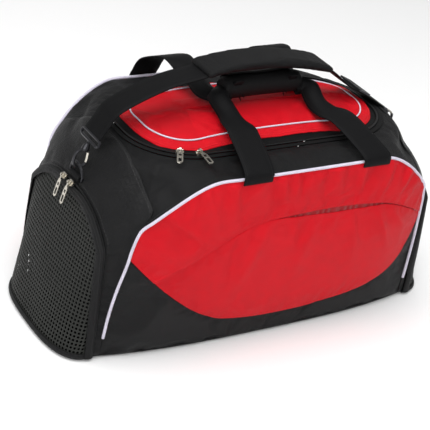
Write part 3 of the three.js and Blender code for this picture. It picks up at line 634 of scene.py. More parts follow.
def metal_finish(name, colour, rough, metallic=1.0):
    """Plated or lacquered metal, with fine scuffs and worn high spots."""
    tree, shader = new_finish(name)
    axes = tree.nodes.new("ShaderNodeTexCoord").outputs["Object"]
    scuff = place_effect(tree, "Handled cloth", Place=axes, Size=160.0)
    worn = [c * 0.7 for c in colour]
    spots = maths(tree, "MULTIPLY_ADD", scuff["Tone"], 2.2, -0.85)
    tree.links.new(mixed(tree, spots, colour, worn), shader.inputs["Base Color"])
    tree.links.new(maths(tree, "MULTIPLY_ADD", scuff["Tone"], 0.25, rough - 0.1),
                   shader.inputs["Roughness"])
    tree.links.new(bumped(tree, scuff["Height"], 0.0001), shader.inputs["Normal"])
    shader.inputs["Metallic"].default_value = metallic


def moulded_finish(name, colour, rough=0.5, grain=400.0, on_ribs=None):
    """Plastic or coated thread, with a fine grain, or ribs across it with painted shade between
    them.
    """
    tree, shader = new_finish(name)
    chart, axes = cloth_places(tree, on_ribs is not None)
    handled = place_effect(tree, "Handled cloth", Place=axes, Size=grain)
    tone = mixed(tree, handled["Tone"], [c * 0.6 for c in colour], [c * 1.35 for c in colour])
    normal = bumped(tree, handled["Height"], 0.0002)
    if on_ribs:
        ribs_and_gap_shade = ridges(tree, parted(tree, chart)[0], math.pi / on_ribs)
        # The gaps between the ribs are painted darker: painted shade. The same ribs give the
        # bump.
        tone = mixed(tree, ribs_and_gap_shade, [c * 0.35 for c in colour], tone)
        normal = bumped(tree, ribs_and_gap_shade, on_ribs * 0.4, normal)
    tree.links.new(tone, shader.inputs["Base Color"])
    tree.links.new(normal, shader.inputs["Normal"])
    tree.links.new(maths(tree, "MULTIPLY_ADD", handled["Tone"], 0.2, rough - 0.1),
                   shader.inputs["Roughness"])
    shader.inputs["Specular IOR Level"].default_value = 0.2


# ---------- pieces of the shell ----------

GAPE_FROM, GAPE_TO, GAPE = -0.040, 0.186, 0.009


def gape(x):
    """How far the slash pocket's lip hangs below its seam."""
    share = (x - GAPE_FROM) / (GAPE_TO - GAPE_FROM)
    return GAPE * math.sin(math.pi * share) if 0 < share < 1 else 0.0


# Soft folds on the side panels: two ends (x, z), width, height, all in metres.
FOLDS = [
    ((0.150, 0.232), (0.205, 0.135), 0.007, 0.0030),
    ((0.178, 0.226), (0.238, 0.165), 0.006, 0.0022),
    ((0.105, 0.226), (0.135, 0.110), 0.009, 0.0020),
    ((-0.215, 0.262), (-0.150, 0.215), 0.010, 0.0030),
    ((-0.170, 0.300), (-0.140, 0.235), 0.008, 0.0030),
    ((-0.125, 0.312), (-0.118, 0.250), 0.009, 0.0032),
    ((-0.045, 0.312), (-0.030, 0.262), 0.009, 0.0032),
    ((0.012, 0.308), (0.020, 0.268), 0.008, 0.0028),
    ((0.060, 0.312), (0.072, 0.262), 0.010, 0.0028),
    ((0.105, 0.312), (0.110, 0.258), 0.007, 0.0026),
    ((0.160, 0.304), (0.152, 0.256), 0.009, 0.0026),
    ((0.205, 0.290), (0.190, 0.245), 0.008, 0.0028),
    ((-0.060, 0.215), (-0.095, 0.105), 0.012, 0.0026),
    ((0.030, 0.220), (0.015, 0.120), 0.012, 0.0016),
]


def fold_height(point):
    """How far the folds lift a side panel at a place."""
    total = 0.0
    for start, end, width, height in FOLDS:
        first, way = Vector(start), Vector(end) - Vector(start)
        share = (point - first).dot(way) / way.length_squared
        near = first + way * min(1.0, max(0.0, share))
        fade = math.sin(math.pi * min(0.94, max(0.06, share + 0.25 * (1 - share))))
        total += 1.5 * height * fade * math.exp(-((point - near).length / width) ** 2)
    gather = max(0.0, 1 - (corner_z(point.x) - point.y) / 0.060)
    total += 0.0016 * gather * (1 + math.sin(point.x * 210 + 3 * math.sin(point.x * 37)))
    return total


def on_side(point, out, turned):
    """A place on the front of the shell, or on its rear when the panel is turned round."""
    x, z = point
    y = -(flank(x, z) + out)
    return Vector((-x, -y, z)) if turned else Vector((x, y, z))


def sewn_panel(name, plan, cells, size, out, finish, stands_for, turned, swell,
               folds=1.0):
    """One panel of the side: cut to a plan, sewn round its edge, its spare cloth buckled."""
    def place(u, v):
        point = plan(u, v)
        edge = min(u, 1 - u, v, 1 - v) * 2
        lift = folds * fold_height(point) * min(1.0, edge * 6)
        return on_side(point, out + lift, turned)

    bm = cloth_grid(*cells, place, size)
    settled_piece(name, bm, finish, "shell", stands_for, swell, 0.6, 0.005)


def side_plans(slit):
    """The plans of one side's panels, between the rim, the leaf's edge and its seam."""
    rim_left = share_near(PANEL_RIM, LEAF_EDGE(0))
    rim_right = share_near(PANEL_RIM, LEAF_EDGE(1))
    top_left = share_near(PANEL_RIM, (-RIM_CORNER[0], RIM_CORNER[1]))
    top_right = share_near(PANEL_RIM, RIM_CORNER)
    seam_right = share_near(PANEL_RIM, SEAM(1))
    tip = share_near(LEAF_EDGE, SEAM(0))
    first = tip * LEAF_EDGE.length / (tip * LEAF_EDGE.length + SEAM.length)

    def upper_foot(u):
        if u < first:
            return LEAF_EDGE(u / first * tip)
        return SEAM((u - first) / (1 - first))

    def lower_head(u):
        point = SEAM(u)
        return Vector((point.x, point.y - (gape(point.x) if slit else 0.0)))

    upper = four_sided(
        upper_foot, part_of(PANEL_RIM, top_left, top_right),
        part_of(PANEL_RIM, rim_left, top_left), part_of(PANEL_RIM, seam_right, top_right))
    lower = four_sided(
        part_of(LEAF_EDGE, tip, 1), lower_head,
        lambda v: SEAM(0), lambda v: LEAF_EDGE(1).lerp(SEAM(1), v))
    foot = Vector((-0.288, 0.0)), Vector((0.288, 0.0))

    def black_head(u):
        point = LEAF_EDGE(u)
        return Vector((point.x, point.y + 0.005 * math.sin(math.pi * u)))

    black = four_sided(
        lambda u: foot[0].lerp(foot[1], u), black_head,
        part_of(PANEL_RIM, 0, rim_left), part_of(PANEL_RIM, 1, rim_right))
    return upper, lower, black


class BAG_OT_side_panels(bpy.types.Operator):
    """Make the red leaf panels and the black lower panels, front and rear"""
    bl_idname = "bag.side_panels"
    bl_label = "Side panels"

    def execute(self, context):
        sizes = context.scene.bag_sizes
        for side, turned in (("front", False), ("rear", True)):
            upper, lower, black = side_plans(slit=not turned)
            sewn_panel(f"{side}_upper_leaf", upper, (150, 34), (0.58, 0.09), 0.0012,
                       "red cloth", [f"{side}_leaf_panel"], turned,
                       sizes.spare)
            sewn_panel(f"{side}_lower_leaf", lower, (140, 52), (0.52, 0.17), 0.0,
                       "red cloth", [], turned, sizes.spare * 0.6)
            sewn_panel(f"{side}_lower_cloth", black, (130, 40), (0.57, 0.11), -0.0010,
                       "black cloth", [f"{side}_lower_panel"], turned,
                       sizes.spare * 0.8, folds=0.0)
        return {"FINISHED"}


class BAG_OT_slash_pocket(bpy.types.Operator):
    """Make the gathered lining that shows in the slash pocket's slit"""
    bl_idname = "bag.slash_pocket"
    bl_label = "Slash pocket"

    def execute(self, context):
        start = share_near(SEAM, (GAPE_FROM - 0.012, 0.2410))
        end = share_near(SEAM, (GAPE_TO + 0.010, 0.2290))

        def place(u, v):
            point = SEAM(start + (end - start) * u)
            drop = 0.006 - v * (0.020 + gape(point.x))
            pucker = 0.0009 * math.sin(u * 118 + 1.4 * math.sin(u * 31)) * math.sin(math.pi * v)
            swell = 0.0022 * math.sin(math.pi * v)
            return on_side(Vector((point.x, point.y + drop)),
                           -0.0042 + pucker + swell, False)

        bm = cloth_grid(150, 10, lambda u, v: place(u, 1 - v), (0.24, 0.03))
        piece = new_piece("slash_pocket_lining", bm, "red lining", "shell",
                          ["front_pocket_liner"])
        wall(piece, 0.0008)
        return {"FINISHED"}


def outside_lid(x, y):
    """How far a place is outside the lid's outline, less than 0 inside it."""
    far = math.hypot(max(0.0, abs(x) - (LID_LONG - LID_CORNER)),
                     max(0.0, abs(y) - (LID_WIDE - LID_CORNER)))
    return far - LID_CORNER


def top_form(x, y):
    """The top with its rise up to the lid's zip."""
    plain = top_at(x, y)
    share = 1 - min(1.0, max(0.0, outside_lid(x, y) - 0.010) / 0.046)
    return plain + (0.3252 - plain) * share * share * (3 - 2 * share)


def lid_plan(share, inset):
    """A place round the lid's outline, moved in by an inset, from the front's left end."""
    run = (share % 1.0) * LID_ROUND
    over = max(0.0, inset - LID_CORNER)
    radius = max(0.0, LID_CORNER - inset)
    sides = [((-1, -1), (1, 0), CORE_X), ((1, -1), (0, 1), CORE_Y),
             ((1, 1), (-1, 0), CORE_X), ((-1, 1), (0, -1), CORE_Y)]
    for (corner_x, corner_y), (way_x, way_y), half in sides:
        centre = Vector((corner_x * (CORE_X - over), corner_y * max(0.0, CORE_Y - over)))
        way = Vector((way_x, way_y))
        out = Vector((way_y, -way_x))
        if run <= 2 * half:
            shrunk = max(0.0, half - over) * 2
            return centre + way * shrunk * run / (2 * half) + out * radius
        run -= 2 * half
        if run <= LID_ARC:
            turn = run / LID_CORNER
            end = centre + way * max(0.0, half - over) * 2
            return end + (out * math.cos(turn) + way * math.sin(turn)) * radius
        run -= LID_ARC
    return lid_plan(0.0, inset)


def deck_rim(share):
    """A place round the deck's outer edge, in step with the lid's outline."""
    run = (share % 1.0) * LID_ROUND
    stops = [0]
    for half in (CORE_X, CORE_Y, CORE_X, CORE_Y):
        stops += [stops[-1] + 2 * half, stops[-1] + 2 * half + LID_ARC]
    corners = [stops[k] - LID_ARC / 2 for k in (2, 4, 6, 8)]

    def end_x(part):
        return DECK_END + 0.006 + (SHOULDER_IN - DECK_END - 0.006) * abs(2 * part - 1) ** 14

    if run >= corners[3] or run < corners[0]:
        part = ((run - corners[3]) % LID_ROUND) / (LID_ROUND - corners[3] + corners[0])
        x = SHOULDER_IN * (2 * part - 1)
        return Vector((x, -side_half(x)))
    if run < corners[1]:
        part = (run - corners[0]) / (corners[1] - corners[0])
        return Vector((end_x(part), side_half(SHOULDER_IN) * (2 * part - 1)))
    if run < corners[2]:
        part = (run - corners[1]) / (corners[2] - corners[1])
        x = SHOULDER_IN * (1 - 2 * part)
        return Vector((x, side_half(x)))
    part = (run - corners[2]) / (corners[3] - corners[2])
    return Vector((-end_x(part), side_half(SHOULDER_IN) * (1 - 2 * part)))


def ring_of_cloth(name, outer, inner, height, cells, size, finish, body, stands_for,
                  swell=0.0, press=0.0, cap=0.004, thick=0.002):
    """A closed band of cloth between two outlines. A slit in its middle is sewn shut."""
    def place(u, v):
        point = outer(u).lerp(inner(u), v)
        return Vector((point.x, point.y, height(point.x, point.y, v)))

    bm = cloth_grid(*cells, place, size)
    bmesh.ops.remove_doubles(bm, verts=bm.verts, dist=1e-5)
    middle = [v for v in bm.verts if v.is_boundary and abs(v.co.y) < 0.0005]
    if middle:
        bmesh.ops.remove_doubles(bm, verts=middle, dist=0.0012)
        slit = [e for e in bm.edges if e.is_boundary
                and max(abs(v.co.y) for v in e.verts) < 0.0005]
        if slit:
            bmesh.ops.holes_fill(bm, edges=slit)
    settled_piece(name, bm, finish, body, stands_for, swell, press, cap, thick)


class BAG_OT_deck(bpy.types.Operator):
    """Make the black deck round the lid, with its side of the zip"""
    bl_idname = "bag.deck"
    bl_label = "Deck"

    def execute(self, context):
        sizes = context.scene.bag_sizes
        ring_of_cloth(
            "deck_cloth", deck_rim, lambda u: lid_plan(u, -0.010),
            lambda x, y, v: top_form(x, y) - (0.0016 if abs(x) > DECK_END else 0.0),
            (220, 20), (1.4, 0.07), "black cloth", "shell",
            ["top_deck"], swell=sizes.spare, press=0.3, cap=0.004)
        ring_of_cloth(
            "deck_tape", lambda u: lid_plan(u, -0.0115), lambda u: lid_plan(u, -0.0012),
            lambda x, y, v: ZIP_LEVEL + 0.0008 * math.sin(math.pi * v), (200, 4),
            (1.25, 0.010), "zip tape", "shell", ["deck_zip_tape"], thick=0.0012)
        return {"FINISHED"}


class BAG_OT_lid(bpy.types.Operator):
    """Make the lid: its red panel and band, piping, tape and the zip's coil"""
    bl_idname = "bag.lid"
    bl_label = "Lid"

    def execute(self, context):
        sizes = context.scene.bag_sizes
        ring_of_cloth(
            "lid_cloth", lambda u: lid_plan(u, 0.0286), lambda u: lid_plan(u, 0.1079),
            lambda x, y, v: lid_top(x, y), (200, 26), (1.0, 0.078), "red cloth", "lid",
            ["lid_panel"], swell=sizes.spare * 1.3, press=-0.2, cap=0.006)
        ring_of_cloth(
            "lid_band_cloth", lambda u: lid_plan(u, 0.0105), lambda u: lid_plan(u, 0.0292),
            lambda x, y, v: lid_top(x, y) + 0.0022 * math.sin(math.pi * v), (220, 10),
            (1.2, 0.019), "red cloth", "lid", ["lid_band"],
            swell=sizes.spare, press=0.3, cap=0.0025)
        ring_of_cloth(
            "lid_tape", lambda u: lid_plan(u, 0.0012), lambda u: lid_plan(u, 0.0125),
            lambda x, y, v: ZIP_LEVEL + (lid_top(x, y) - 0.3276) * v ** 1.5, (200, 5),
            (1.25, 0.011), "zip tape",
            "lid", ["lid_zip_tape"], thick=0.0012)

        def ring_line(inset, lift):
            def at(u):
                x, y = lid_plan(u, inset)
                return Vector((x, y, lid_top(x, y) + lift))
            at.length = 1.05
            return at

        piping = tube_mesh(ring_line(0.029, 0.0012), sizes.piping * 0.55, 10, 240, ends=False)
        new_piece("lid_cord", piping, "piping cloth", "lid", ["lid_piping"])
        coil = tube_mesh(ring_line(0.0, 0.0002), 0.0021, 8, 400, ends=False, squeeze=0.6)
        new_piece("lid_zip_coil", coil, "zip coil", "shell", [])
        return {"FINISHED"}


def end_section(turn):
    """Half of the end's outline: turn goes from 3/16 above the base's edge to 1 at the top."""
    x = TUBE_END
    if turn <= 3 / 16:
        return base_half(x), BASE_CORNER
    if turn <= 9 / 16:
        share = (turn - 3 / 16) / (6 / 16)
        z = BASE_CORNER + (corner_z(x) - BASE_CORNER) * share
        return flank(x, max(z, BASE_CORNER)), z
    share = (turn - 9 / 16) / (7 / 16)
    y = side_half(x) * (1 - share)
    return y, top_at(x, y)


def end_outline():
    """The end's whole outline, from the front foot over the top to the rear foot."""
    half = [end_section(3 / 16 + 13 / 16 * k / 40) for k in range(41)]
    points = [(-y, z) for y, z in half] + [(y, z) for y, z in half[-2::-1]]
    return smooth_line(points, 3)


class BAG_OT_end_shells(bpy.types.Operator):
    """Make the black cloth of both shoulders and the sides below them"""
    bl_idname = "bag.end_shells"
    bl_label = "End shells"

    def execute(self, context):
        sizes = context.scene.bag_sizes
        side_part = 0.36
        for side, sign in (("left", -1), ("right", 1)):
            def inner_x(v, z):
                if v <= side_part:
                    low, high = 0.0, 0.49
                    for _ in range(22):
                        middle = (low + high) / 2
                        point = PANEL_RIM(middle)
                        if point.y < z:
                            low = middle
                        else:
                            high = middle
                        if abs(point.x) < SHOULDER_IN:
                            high = middle
                    return max(SHOULDER_IN, -PANEL_RIM(low).x)
                share = min(1.0, (v - side_part) / 0.0066)
                return SHOULDER_IN + (DECK_END - SHOULDER_IN) * share

            def place(u, v, sign=sign):
                half = min(v, 1 - v)
                x = 0.285
                for _ in range(8):
                    z = corner_z(x) * half / side_part
                    x_in = inner_x(half, z)
                    x = x_in + (TUBE_END - x_in) * u
                if half <= side_part:
                    y = flank(x, z)
                else:
                    y = side_half(x) * (1 - (half - side_part) / (0.5 - side_part))
                    z = top_form(x, y)
                y = -y if v < 0.5 else y
                return Vector((sign * x, y, z))

            bm = cloth_grid(14, 150, facing_out(place, sign), (0.05, 0.75))
            soft = [v for v in bm.verts if not v.is_boundary
                    and abs(v.co.x) > 0.268 and abs(v.co.y) > 0.08]
            for _ in range(4):
                bmesh.ops.smooth_vert(bm, verts=soft, factor=0.5, use_axis_x=True,
                                      use_axis_y=True, use_axis_z=True)
            settled_piece(
                f"{side}_end_cloth", bm, "shoulder cloth", "shell",
                [f"{side}_shoulder_panel", f"{side}_front_gusset", f"{side}_rear_gusset"],
                sizes.spare, 0.4, 0.004)
        return {"FINISHED"}


class BAG_OT_pipings(bpy.types.Operator):
    """Make the piping sewn round the front and rear panels"""
    bl_idname = "bag.pipings"
    bl_label = "Pipings"

    def execute(self, context):
        sizes = context.scene.bag_sizes
        for side, turned in (("front", False), ("rear", True)):
            def cord_line(u, turned=turned):
                point = PANEL_RIM(0.040 + 0.920 * u)
                place = on_side(point, 0.0012, turned)
                lift = 0.0012 if abs(point.x) < SHOULDER_IN else 0.0
                return place + Vector((0, 0, lift))
            cord_line.length = PANEL_RIM.length
            bm = tube_mesh(cord_line, sizes.piping, 12, 260)
            new_piece(f"{side}_cord", bm, "piping cloth", "shell", [f"{side}_piping"])
        return {"FINISHED"}


def pocket_half(z):
    """Half the end's width at a height."""
    if z <= corner_z(TUBE_END):
        return flank(TUBE_END, max(z, BASE_CORNER))
    share = (z - corner_z(TUBE_END)) / (deck_z(TUBE_END) - corner_z(TUBE_END))
    return side_half(TUBE_END) * max(0.0, 1 - share) ** (1 / 3)


class PocketForm:
    """The rounded face of an end pocket, charted by length across it and height."""

    def __init__(self, rounding):
        self.rounding = rounding
        self.rows = {}

    def row(self, z):
        key = round(z * 2000)
        if key not in self.rows:
            level = key / 2000
            half = pocket_half(level)
            deep = max(0.004, pocket_x(level) - POCKET_SEAT) * (
                1 - (level / POCKET_TOP) ** 24 * 0.5)
            rounding = self.rounding - level / POCKET_TOP
            points = []
            for k in range(61):
                turn = math.pi / 2 * k / 60
                points.append((half * math.sin(turn) ** (2 / rounding),
                               POCKET_SEAT + deep * math.cos(turn) ** (2 / rounding)))
            run = [0.0]
            for a, b in zip(points, points[1:]):
                run.append(run[-1] + math.hypot(b[0] - a[0], b[1] - a[1]))
            self.rows[key] = (points, run)
        return self.rows[key]

    def reach(self, z):
        return self.row(z)[1][-1]

    def place(self, across, z, out, sign):
        """A place on the face; across is measured along the cloth from the middle."""
        points, run = self.row(z)
        goal = min(abs(across), run[-1])
        k = next(i for i in range(1, len(run)) if run[i] >= goal - 1e-9)
        span = run[k] - run[k - 1]
        t = (goal - run[k - 1]) / span if span > 1e-9 else 0.0
        y = points[k - 1][0] + (points[k][0] - points[k - 1][0]) * t
        x = points[k - 1][1] + (points[k][1] - points[k - 1][1]) * t
        way = Vector((points[k][1] - points[k - 1][1], points[k][0] - points[k - 1][0]))
        away = Vector((way.y, -way.x)).normalized() if way.length > 1e-9 else Vector((1, 0))
        x, y = x + away.x * out, y + away.y * out
        return Vector((sign * x, math.copysign(y, across), z))


def pocket_border(form, side, sign):
    """The band over the mesh's edge, up its front and down its rear."""
    edge = [(-form.reach(z), z) for z in (NET_FOOT + (NET_HEAD - NET_FOOT) * k / 70
                                          for k in range(71))]
    rim = smooth_line(edge + [(-a, z) for a, z in edge[::-1]], 2)

    def place(u, v):
        way = (rim(min(1, u + 0.004)) - rim(max(0, u - 0.004))).normalized()
        across, z = rim(u) + Vector((way.y, -way.x)) * (BORDER * v)
        ridge = 0.0008 + 0.0012 * math.sin(math.pi * min(1.0, v * 1.05))
        return form.place(across, max(NET_FOOT, z), ridge, sign)

    bm = cloth_grid(180, 8, facing_out(place, sign), (0.68, BORDER))
    piece = new_piece(f"{side}_pocket_border", bm, "black cloth", f"{side}_pocket",
                      [f"{side}_pocket_frame"])
    wall(piece, 0.002)


def pocket_hem(form, side, sign):
    """The hem along the mesh's foot."""
    def place(u, v):
        z = 0.0042 + 0.0095 * v
        return form.place((2 * u - 1) * form.reach(z), z,
                          0.0006 + 0.0012 * math.sin(math.pi * v), sign)

    bm = cloth_grid(80, 4, facing_out(place, sign), (0.29, 0.010))
    piece = new_piece(f"{side}_pocket_hem", bm, "black cloth", f"{side}_pocket", [])
    wall(piece, 0.002)


def pocket_base(form, side, sign):
    """The pocket's floor, from the shell's end out to the mesh."""
    def place(u, v):
        edge = form.place((2 * u - 1) * form.reach(NET_FOOT), NET_FOOT, -0.0004, sign)
        seat = Vector((sign * 0.2986, edge.y * 0.97, 0.0))
        spot = seat.lerp(edge, v)
        return Vector((spot.x, spot.y, 0.0035))

    bm = cloth_grid(60, 8, facing_out(place, sign), (0.25, 0.055))
    piece = new_piece(f"{side}_pocket_base", bm, "black lining", "shell",
                      [f"{side}_pocket_floor"])
    wall(piece, 0.0034, levels=0)


def pocket_net(form, side, sign, pitch):
    """The mesh: a grid of cells laid on the pocket's face, each with its hole cut out."""
    columns, rows = 46, int((NET_HEAD - NET_FOOT) / pitch)
    bm = bmesh.new()
    bmesh.ops.create_grid(bm, x_segments=columns, y_segments=rows, size=0.5)

    def chart(vert):
        return vert.co.x * columns * pitch, NET_FOOT + (vert.co.y + 0.5) * (
            NET_HEAD - NET_FOOT)

    def beyond(vert):
        across, z = chart(vert)
        return abs(across) > form.reach(z) - 0.006 or z > NET_HEAD - 0.004

    outs = [face for face in bm.faces if any(beyond(vert) for vert in face.verts)]
    bmesh.ops.delete(bm, geom=outs, context="FACES")
    for vert in bm.verts:
        across, z = chart(vert)
        sway = 0.0010 * noise.noise(Vector((across * 40, z * 40, sign)))
        sag = 0.0016 * noise.noise(Vector((across * 14, z * 14, 3 + sign)))
        vert.co = form.place(across + sway, z, -0.0012 + sag, sign)
    if sign < 0:
        bmesh.ops.reverse_faces(bm, faces=bm.faces)
    small = [face for face in bm.faces if face.calc_area() < 0.3 * pitch * pitch]
    bmesh.ops.delete(bm, geom=small, context="FACES")
    holes = list(bm.faces)
    bmesh.ops.inset_individual(bm, faces=holes, thickness=pitch * 0.25, depth=0.0,
                               use_even_offset=False)
    bmesh.ops.delete(bm, geom=holes, context="FACES")
    piece = new_piece(f"{side}_pocket_net", bm, "knitted net", f"{side}_pocket",
                      [f"{side}_pocket_mesh"])
    wall(piece, 0.0013)


def pocket_coil(side, sign):
    """The coil of the zip round the pocket."""
    outline = end_outline()

    def line(u):
        y, z = outline(0.05 + 0.9 * u)
        away = Vector((0, y, z - 0.10)).normalized()
        return Vector((sign * 0.2984, y, z)) + away * 0.0008

    line.length = 0.56
    bm = tube_mesh(line, 0.0021, 8, 320, squeeze=0.7, up=(1, 0, 0))
    new_piece(f"{side}_pocket_coil", bm, "zip coil", "shell", [])


class BAG_OT_end_pockets(bpy.types.Operator):
    """Make each end pocket's mesh, border, floor and zip"""
    bl_idname = "bag.end_pockets"
    bl_label = "End pockets"

    def execute(self, context):
        form = PocketForm(2.8)
        for side, sign in (("left", -1), ("right", 1)):
            pocket_border(form, side, sign)
            pocket_hem(form, side, sign)
            pocket_base(form, side, sign)
            pocket_net(form, side, sign, context.scene.bag_sizes.net)
            pocket_coil(side, sign)
        return {"FINISHED"}


# ---------- straps and handles ----------

class BAG_OT_handles(bpy.types.Operator):
    """Make both carry handles' webbing"""
    bl_idname = "bag.handles"
    bl_label = "Carry handles"

    def execute(self, context):
        width = context.scene.bag_sizes.webbing
        for side, sign, depth in (("front", -1, 0.004), ("rear", 1, -0.004)):
            for leg, way in (("left", -1), ("right", 1)):
                lift = 0.0 if side == "front" else 1.0
                line = smooth_line([
                    (0.018 + way * 0.108, sign * 0.1860, 0.3120),
                    (0.018 + way * 0.108, sign * 0.1868, 0.3200),
                    (0.018 + way * 0.107, sign * 0.1838, 0.3275),
                    (0.018 + way * 0.103, sign * 0.1648, 0.3365 + lift * 0.022),
                    (0.018 + way * 0.094, sign * 0.1100, 0.3530 + lift * 0.030),
                    (0.014 + way * 0.082, sign * 0.0580, 0.3660 + lift * 0.012),
                    (0.014 + way * 0.084, sign * 0.0220, GRIP_HEIGHT + depth),
                    (0.014 + way * 0.072, sign * 0.0040, GRIP_HEIGHT + depth),
                    (0.014 + way * 0.040, sign * 0.0030, GRIP_HEIGHT + depth),
                ], 30)

                def bend(u):
                    share = min(1.0, max(0.0, (u - 0.42) / 0.24))
                    return 2.9 * share * share * (3 - 2 * share)
                bm = band_mesh(line, width, 0.0024, (sign, 0, 0), bend, 70)
                names = [f"{side}_handle_webbing"] if leg == "left" else []
                new_piece(f"{side}_handle_{leg}_leg", bm, "woven webbing", f"{side}_handle",
                          names)
        return {"FINISHED"}


def puffed(name, bm, finish, body, stands_for, press, cap):
    """A padded piece: its cover is remeshed evenly and blown up a little by its foam."""
    mesh = bpy.data.meshes.new(name)
    bm.to_mesh(mesh)
    bm.free()
    piece = bpy.data.objects.new(name, mesh)
    bpy.context.scene.collection.objects.link(piece)
    mesh.materials.append(bpy.data.materials[finish])
    remesh = piece.modifiers.new("even cover", "REMESH")
    remesh.mode = "VOXEL"
    remesh.voxel_size = 0.004
    shown = piece.evaluated_get(bpy.context.evaluated_depsgraph_get())
    even = bpy.data.meshes.new_from_object(shown)
    piece.modifiers.clear()
    piece.data = even
    even.name = name
    let_settle(piece, [0.0] * len(even.vertices), 0.01, press, cap)
    for face in even.polygons:
        face.use_smooth = True
    take_place(piece, body, stands_for)
    fine = piece.modifiers.new("fine surface", "SUBSURF")
    fine.levels = fine.render_levels = 1
    return piece


class BAG_OT_grip(bpy.types.Operator):
    """Make the padded wrap round both handles and its closing flap"""
    bl_idname = "bag.grip"
    bl_label = "Wrap grip"

    def execute(self, context):
        line = smooth_line([(-0.056, 0, GRIP_HEIGHT), (0.014, 0, 0.378),
                            (0.084, 0, GRIP_HEIGHT)], 30)

        def girth(u):
            end = min(u, 1 - u) / 0.10
            return 0.0195 * (0.86 + 0.14 * math.sin(min(1.0, end) * math.pi / 2))
        bm = tube_mesh(line, girth, 24, 30, squeeze=0.92)
        piece = puffed("grip_cover", bm, "black padding", "front_handle", ["grip_wrap"],
                       press=2.0, cap=0.002)

        def place(u, v):
            turn = math.radians(-150 + 150 * v)
            x = 0.014 + (u - 0.5) * 0.124
            lift = 0.0226 + 0.0008 * math.sin(u * 9)
            return Vector((x, math.cos(turn + math.pi / 2) * lift,
                           GRIP_HEIGHT + math.sin(turn + math.pi / 2) * lift * 0.95))
        bm = cloth_grid(30, 20, place, (0.124, 0.06))
        bmesh.ops.recalc_face_normals(bm, faces=bm.faces)
        piece = new_piece("grip_flap_cloth", bm, "black padding", "grip_flap", ["grip_flap"])
        wall(piece, 0.0022, inward=False)
        return {"FINISHED"}


def strap_arc(angle, radius=0.400):
    """A place on the strap's round stretch, as (x, z)."""
    return -0.008 + radius * math.sin(angle), 0.024 + radius * math.cos(angle)


def strap_line():
    """The shoulder strap's line between its two end loops, in the plane of the handles."""
    points = [(-0.2745, 0.3265), (-0.2620, 0.3440), (-0.2460, 0.3660), (-0.2050, 0.3860),
              (-0.1580, 0.4020)]
    points += [strap_arc(-0.26 + 0.62 * k / 8) for k in range(9)]
    points += [(0.1720, 0.3680), (0.2080, 0.3490), (0.2505, 0.3225)]
    return smooth_line([(x, STRAP_Y, z) for x, z in points], 20)


class BAG_OT_shoulder_strap(bpy.types.Operator):
    """Make the shoulder strap and its padded sleeve"""
    bl_idname = "bag.shoulder_strap"
    bl_label = "Shoulder strap"

    def execute(self, context):
        width = context.scene.bag_sizes.webbing
        bm = band_mesh(strap_line(), width, 0.0024, (0, 1, 0), None, 160)
        new_piece("strap_webbing", bm, "woven webbing", "strap", ["shoulder_strap"])

        arc = [strap_arc(-0.235 + 0.58 * k / 12, 0.4005) for k in range(13)]
        line = smooth_line([(x, STRAP_Y, z) for x, z in arc], 12)
        bm = band_mesh(line, 0.062, 0.0100, (0, 1, 0), None, 60)
        piece = puffed("strap_pad", bm, "black padding", "pad", ["shoulder_pad"],
                       press=3.0, cap=0.0025)
        return {"FINISHED"}


class BAG_OT_hardware(bpy.types.Operator):
    """Give the sliders, pulls, hooks, rings and the pieces below the cloth their finishes"""
    bl_idname = "bag.hardware"
    bl_label = "Hardware"

    def execute(self, context):
        wanted = {"nickel": "nickel plate", "dark_metal": "dark metal", "board": "stiff board",
                  "webbing": "plain webbing", "black_shell": "black lining",
                  "piping": "piping cloth", "mesh": "knitted net", "zip_tape": "zip tape",
                  "red_shell": "red cloth", "red_lining": "red lining"}
        slots = {row["node"]: row["material_slot"] for row in frame["record"]["subparts"]}
        for node, piece in frame["nodes"].items():
            finish = bpy.data.materials[wanted[slots[node]]]
            piece.data.materials.clear()
            piece.data.materials.append(finish)
        return {"FINISHED"}


